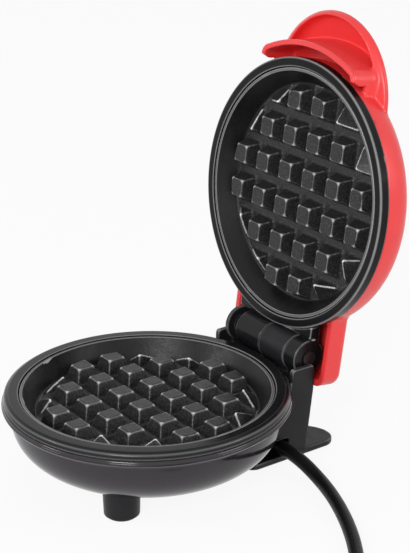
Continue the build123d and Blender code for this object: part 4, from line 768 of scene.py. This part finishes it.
# Base
def stand_field(x, y, z):
    """Sole, column and the base's knuckles in one moulding."""
    across, barrel = np.hypot(x, y), np.hypot(y - HINGE_Y, z - HINGE_Z)
    outer, room = np.abs(x) - STAND_HALF_WIDTH, np.abs(x) - STAND_ROOM_HALF_WIDTH
    side = both(polygon(y, z, STAND_SIDE), z - STAND_TOP_Z, 3.0)
    column = both(both(side, outer, 0.9), STAND_LOW_Z - z)
    column = cut(column, both(polygon(y, z, STAND_HOLLOW), room, 1.0), 0.3)
    column = cut(column, both(room, STAND_NOTCH_Z - z, 0.8), 0.5)
    sole = both(outer, between(y, *SOLE_Y), SOLE_CORNER)
    sole = cut(sole, np.hypot(x, y - SCALLOP_Y) - SCALLOP_RADIUS, 3.0)
    column = union(column, both(sole, between(z, *SOLE_Z), 0.7), 1.2)
    bowl = oval(across, BOWL_EDGE_Z - z, BOWL_RADIUS + SEAT_FIT,
                BOWL_EDGE_Z - BOWL_LOW_Z + SEAT_FIT, BOWL_POWER)
    bowl = both(bowl, z - BOWL_EDGE_Z)
    band = both(across - BAND_ROOM_RADIUS, BOWL_EDGE_Z - z)
    column = cut(column, np.minimum(bowl, band), 0.4)
    arch = both(both(y - ARCH_Y, z - ARCH_TOP_Z, 1.5), between(x, *ARCH_X))
    column = cut(column, both(arch, SOLE_Z[1] - z), 0.5)
    column = union(column, rounded_box(x, y, z, *RIB, 0.4), 0.4)
    for span in BASE_KNUCKLES:
        cheek = rounded_box(x, y, z, span, CHEEK_Y, (CHEEK_LOW_Z, HINGE_Z), 0.4)
        column = union(column, cheek, 0.8)
        column = union(column, disc(barrel, x, *span, KNUCKLE_RADIUS, 0.7), 0.6)
    return cut(column, disc(barrel, x, *BASE_BORE_SPAN, PIN_BORE, 0.1), 0.3)


def bowl_outline():
    """Bowl's section: inside, groove, rim band and outside."""
    angles = np.linspace(0, 1, BOWL_STEPS) * pi / 2

    def side(radius, low):
        return [(radius * max(cos(a), 0) ** (2 / BOWL_POWER),
                 BOWL_EDGE_Z - (BOWL_EDGE_Z - low) * sin(a) ** (2 / BOWL_POWER)) for a in angles]

    inside = side(BOWL_RADIUS - BOWL_WALL, BOWL_LOW_Z + BOWL_WALL)[:-1]
    outside = side(BOWL_RADIUS, BOWL_LOW_Z)[:-1] + [(0, BOWL_LOW_Z)]
    return inside[::-1] + BOWL_GROOVE + rounded(BOWL_BAND) + outside


def base_pieces():
    """Everything seen on the base."""
    def lower(x, y, z):
        return plate_field(x, y, z - PLATE_LIP_Z)

    sculpt("lower_pegs_looks", lower, (-50, -50, 29.5), (50, 50, 41), 0.6, PEGS,
           ["lower_plate"])
    lathe("lower_pan_looks", rim_outline(PLATE_LIP_Z, -1), PAN, ["lower_plate"])
    sculpt("stand_looks", stand_field, (-31, 32, 0), (31, 88, 57), 0.7, STAND,
           ["rear_stand"])
    lathe("bowl_looks", bowl_outline(), GLOSS, ["base_bowl"])
    lathe("base_ring_looks", rounded(BASE_RING), SATIN, ["base_trim_ring"])
    for side, word in ((-1, "left"), (1, "right")):
        lathe("foot_looks_" + word, rounded(FOOT), STAND, ["front_foot_" + word],
              steps=64, axis=(side * FOOT_X, FOOT_Y))


# Cord
def half_turns():
    """Half turns of the coil: first and last place across, first and last height."""
    low = COIL_LIFT + CORD_RADIUS
    high = low + COIL_PITCH
    wide, step = COIL_RADIUS, COIL_PITCH
    return [
        (wide, -wide, low, low), (-wide, wide - step, low, low),
        (wide - step, step - wide, low, high), (step - wide, wide, high, high),
        (wide, -wide, high, high), (-wide, wide + step, high, high)]


def cord_points():
    """The cord's whole route: over the worktop, round the coil and on to the plug."""
    route = [np.array(p, float) for p in CORD_ROUTE]
    heading = route[-1] - route[-2]
    heading /= np.linalg.norm(heading)
    start = route[-1] + heading * CORD_RADIUS * 2
    across = np.array([-heading[1], heading[0], 0.0])
    centre = start - across * COIL_RADIUS
    route.append(start)
    for first, last, z_first, z_last in half_turns():
        middle, radius = (first + last) / 2, abs(first - last) / 2
        way = 1 if first > last else -1
        for step in range(COIL_POINTS):
            angle = (step + 0.5) * pi / COIL_POINTS
            beside = middle + way * radius * cos(angle)
            along = way * radius * sin(angle)
            point = centre + across * beside + heading * along
            point[2] = z_first + (z_last - z_first) * (1 - cos(angle)) / 2
            route.append(point)
    finish = centre + across * (COIL_RADIUS + COIL_PITCH)
    finish[2] = half_turns()[-1][3]
    along = CORD_RADIUS * 2
    route.append(finish + heading * along)
    for run, down in TAIL_RUNS:
        along += run
        point = finish + heading * along
        point[2] = finish[2] + (PLUG_AXIS_Z - finish[2]) * down
        route.append(point)
    return route


def cord_piece():
    """The whole cord as one round curve, with the pieces that go with it."""
    points = place(cord_points())
    curve = bpy.data.curves.new("cord_looks", "CURVE")
    curve.dimensions = "3D"
    spline = curve.splines.new("NURBS")
    spline.points.add(len(points) - 1)
    for point, at in zip(spline.points, points):
        point.co = (*at, 1)
    spline.order_u = 3
    spline.use_endpoint_u = True
    spline.resolution_u = 6
    curve.bevel_depth = CORD_RADIUS * MM
    curve.bevel_resolution = 6
    curve.materials.append(RUBBER)
    cord = bpy.data.objects.new("cord_looks", curve)
    bpy.context.scene.collection.objects.link(cord)
    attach(cord, "base")
    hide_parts("power_cord", "cord_coil", "cord_tail")


# Pieces whose solids already have the right shape
CARRIED = {
    "hinge_pin": PIN, "hinge_pin_clip": DARK_STEEL, "strain_relief": RUBBER, "cord_tie": RUBBER,
    "plug_body": RUBBER, "plug_blades": BRASS, "front_pad_left": PAD, "front_pad_right": PAD,
    "rear_pad_left": PAD, "rear_pad_right": PAD, "base_screws": STEEL, "shield_screws": STEEL,
    "lid_screws": STEEL, "lower_heating_element": TUBE, "upper_heating_element": TUBE,
    "lower_heat_shield": SHEET, "upper_heat_shield": SHEET, "thermostat": STEEL,
    "thermal_fuse": SHEET, "terminal_block": NYLON, "base_wiring": BRAID, "lid_wiring": BRAID,
    "indicator_lens": LENS, "indicator_lamp": LAMP,
}


def dress_solids():
    """Give the carried-over solids their materials."""
    for name, material in CARRIED.items():
        solid = frame["nodes"][name]
        solid.data.materials.clear()
        solid.data.materials.append(material)


# Studio
def shown_ray(tree):
    """1 for rays that show the background: seen, mirrored or through glass."""
    rays = tree.nodes.new("ShaderNodeLightPath")
    value = rays.outputs["Is Camera Ray"]
    for name in ("Is Glossy Ray", "Is Transmission Ray"):
        most = tree.nodes.new("ShaderNodeMath")
        most.operation = "MAXIMUM"
        tree.links.new(value, most.inputs[0])
        tree.links.new(rays.outputs[name], most.inputs[1])
        value = most.outputs[0]
    return value


def studio_world():
    """Soft even light, and white where the background shows."""
    world = bpy.data.worlds.new("studio")
    bpy.context.scene.world = world
    world.use_nodes = True
    tree = world.node_tree
    tree.nodes.clear()
    output = tree.nodes.new("ShaderNodeOutputWorld")
    mix = tree.nodes.new("ShaderNodeMixShader")
    tree.links.new(shown_ray(tree), mix.inputs[0])
    for slot, strength in ((1, SKY_STRENGTH), (2, BACKGROUND_WHITE)):
        sky = tree.nodes.new("ShaderNodeBackground")
        sky.inputs["Color"].default_value = (1, 1, 1, 1)
        sky.inputs["Strength"].default_value = strength
        tree.links.new(sky.outputs[0], mix.inputs[slot])
    tree.links.new(mix.outputs[0], output.inputs["Surface"])


def worktop():
    """Pale floor that keeps the object's shadow and fades to the white background."""
    mesh = bpy.data.meshes.new("worktop")
    size = FLOOR_HALF_WIDTH
    corners = [(-size, -size, 0), (size, -size, 0), (size, size, 0), (-size, size, 0)]
    mesh.from_pydata(corners, [], [(0, 1, 2, 3)])
    floor = bpy.data.objects.new("worktop", mesh)
    bpy.context.scene.collection.objects.link(floor)
    material, tree, shader, source = nodes_of("worktop_white")
    clouds = noise(tree, source, FLOOR_CLOUDS)
    pale = tint(tree, clouds, (0.93, 0.93, 0.93), (0.9, 0.9, 0.9))
    tree.links.new(pale, shader.inputs["Base Color"])
    shader.inputs["Roughness"].default_value = 0.7
    shader.inputs["Specular IOR Level"].default_value = 0.2
    glow = tree.nodes.new("ShaderNodeEmission")
    mix = tree.nodes.new("ShaderNodeMixShader")
    share = tree.nodes.new("ShaderNodeMath")
    share.operation = "MULTIPLY"
    share.inputs[1].default_value = FLOOR_WHITE
    tree.links.new(shown_ray(tree), share.inputs[0])
    tree.links.new(share.outputs[0], mix.inputs[0])
    tree.links.new(shader.outputs[0], mix.inputs[1])
    tree.links.new(glow.outputs[0], mix.inputs[2])
    tree.links.new(mix.outputs[0], tree.nodes["Material Output"].inputs["Surface"])
    mesh.materials.append(material)


def lamps():
    """Key from the right front, fill from the left front and rim from the right rear."""
    for name, spot, size, power in LAMPS:
        light = bpy.data.lights.new(name, "AREA")
        light.size = size
        light.energy = power
        lamp = bpy.data.objects.new(name, light)
        lamp.location = spot
        lamp.rotation_mode = "QUATERNION"
        facing = Vector(LAMP_TARGET) - lamp.location
        lamp.rotation_quaternion = facing.to_track_quat("-Z", "Y")
        bpy.context.scene.collection.objects.link(lamp)


def camera():
    """Camera at the photograph's place."""
    data = bpy.data.cameras.new("camera")
    data.sensor_fit = "AUTO"
    data.sensor_width = SENSOR
    data.lens = FOCAL_PIXELS / FRAME_LONG_SIDE * SENSOR
    data.clip_start, data.clip_end = 0.01, 50
    eye = Vector(place([CAMERA_PLACE])[0])
    aim = Vector(place([CAMERA_TARGET])[0])
    shot = bpy.data.objects.new("camera", data)
    shot.location = eye
    shot.rotation_mode = "QUATERNION"
    shot.rotation_quaternion = (aim - eye).to_track_quat("-Z", "Y")
    bpy.context.scene.collection.objects.link(shot)
    bpy.context.scene.camera = shot


bpy.context.scene.view_settings.view_transform = "Standard"
camera()
cord_piece()
lid_pieces()
base_pieces()
dress_solids()
studio_world()
worktop()
lamps()
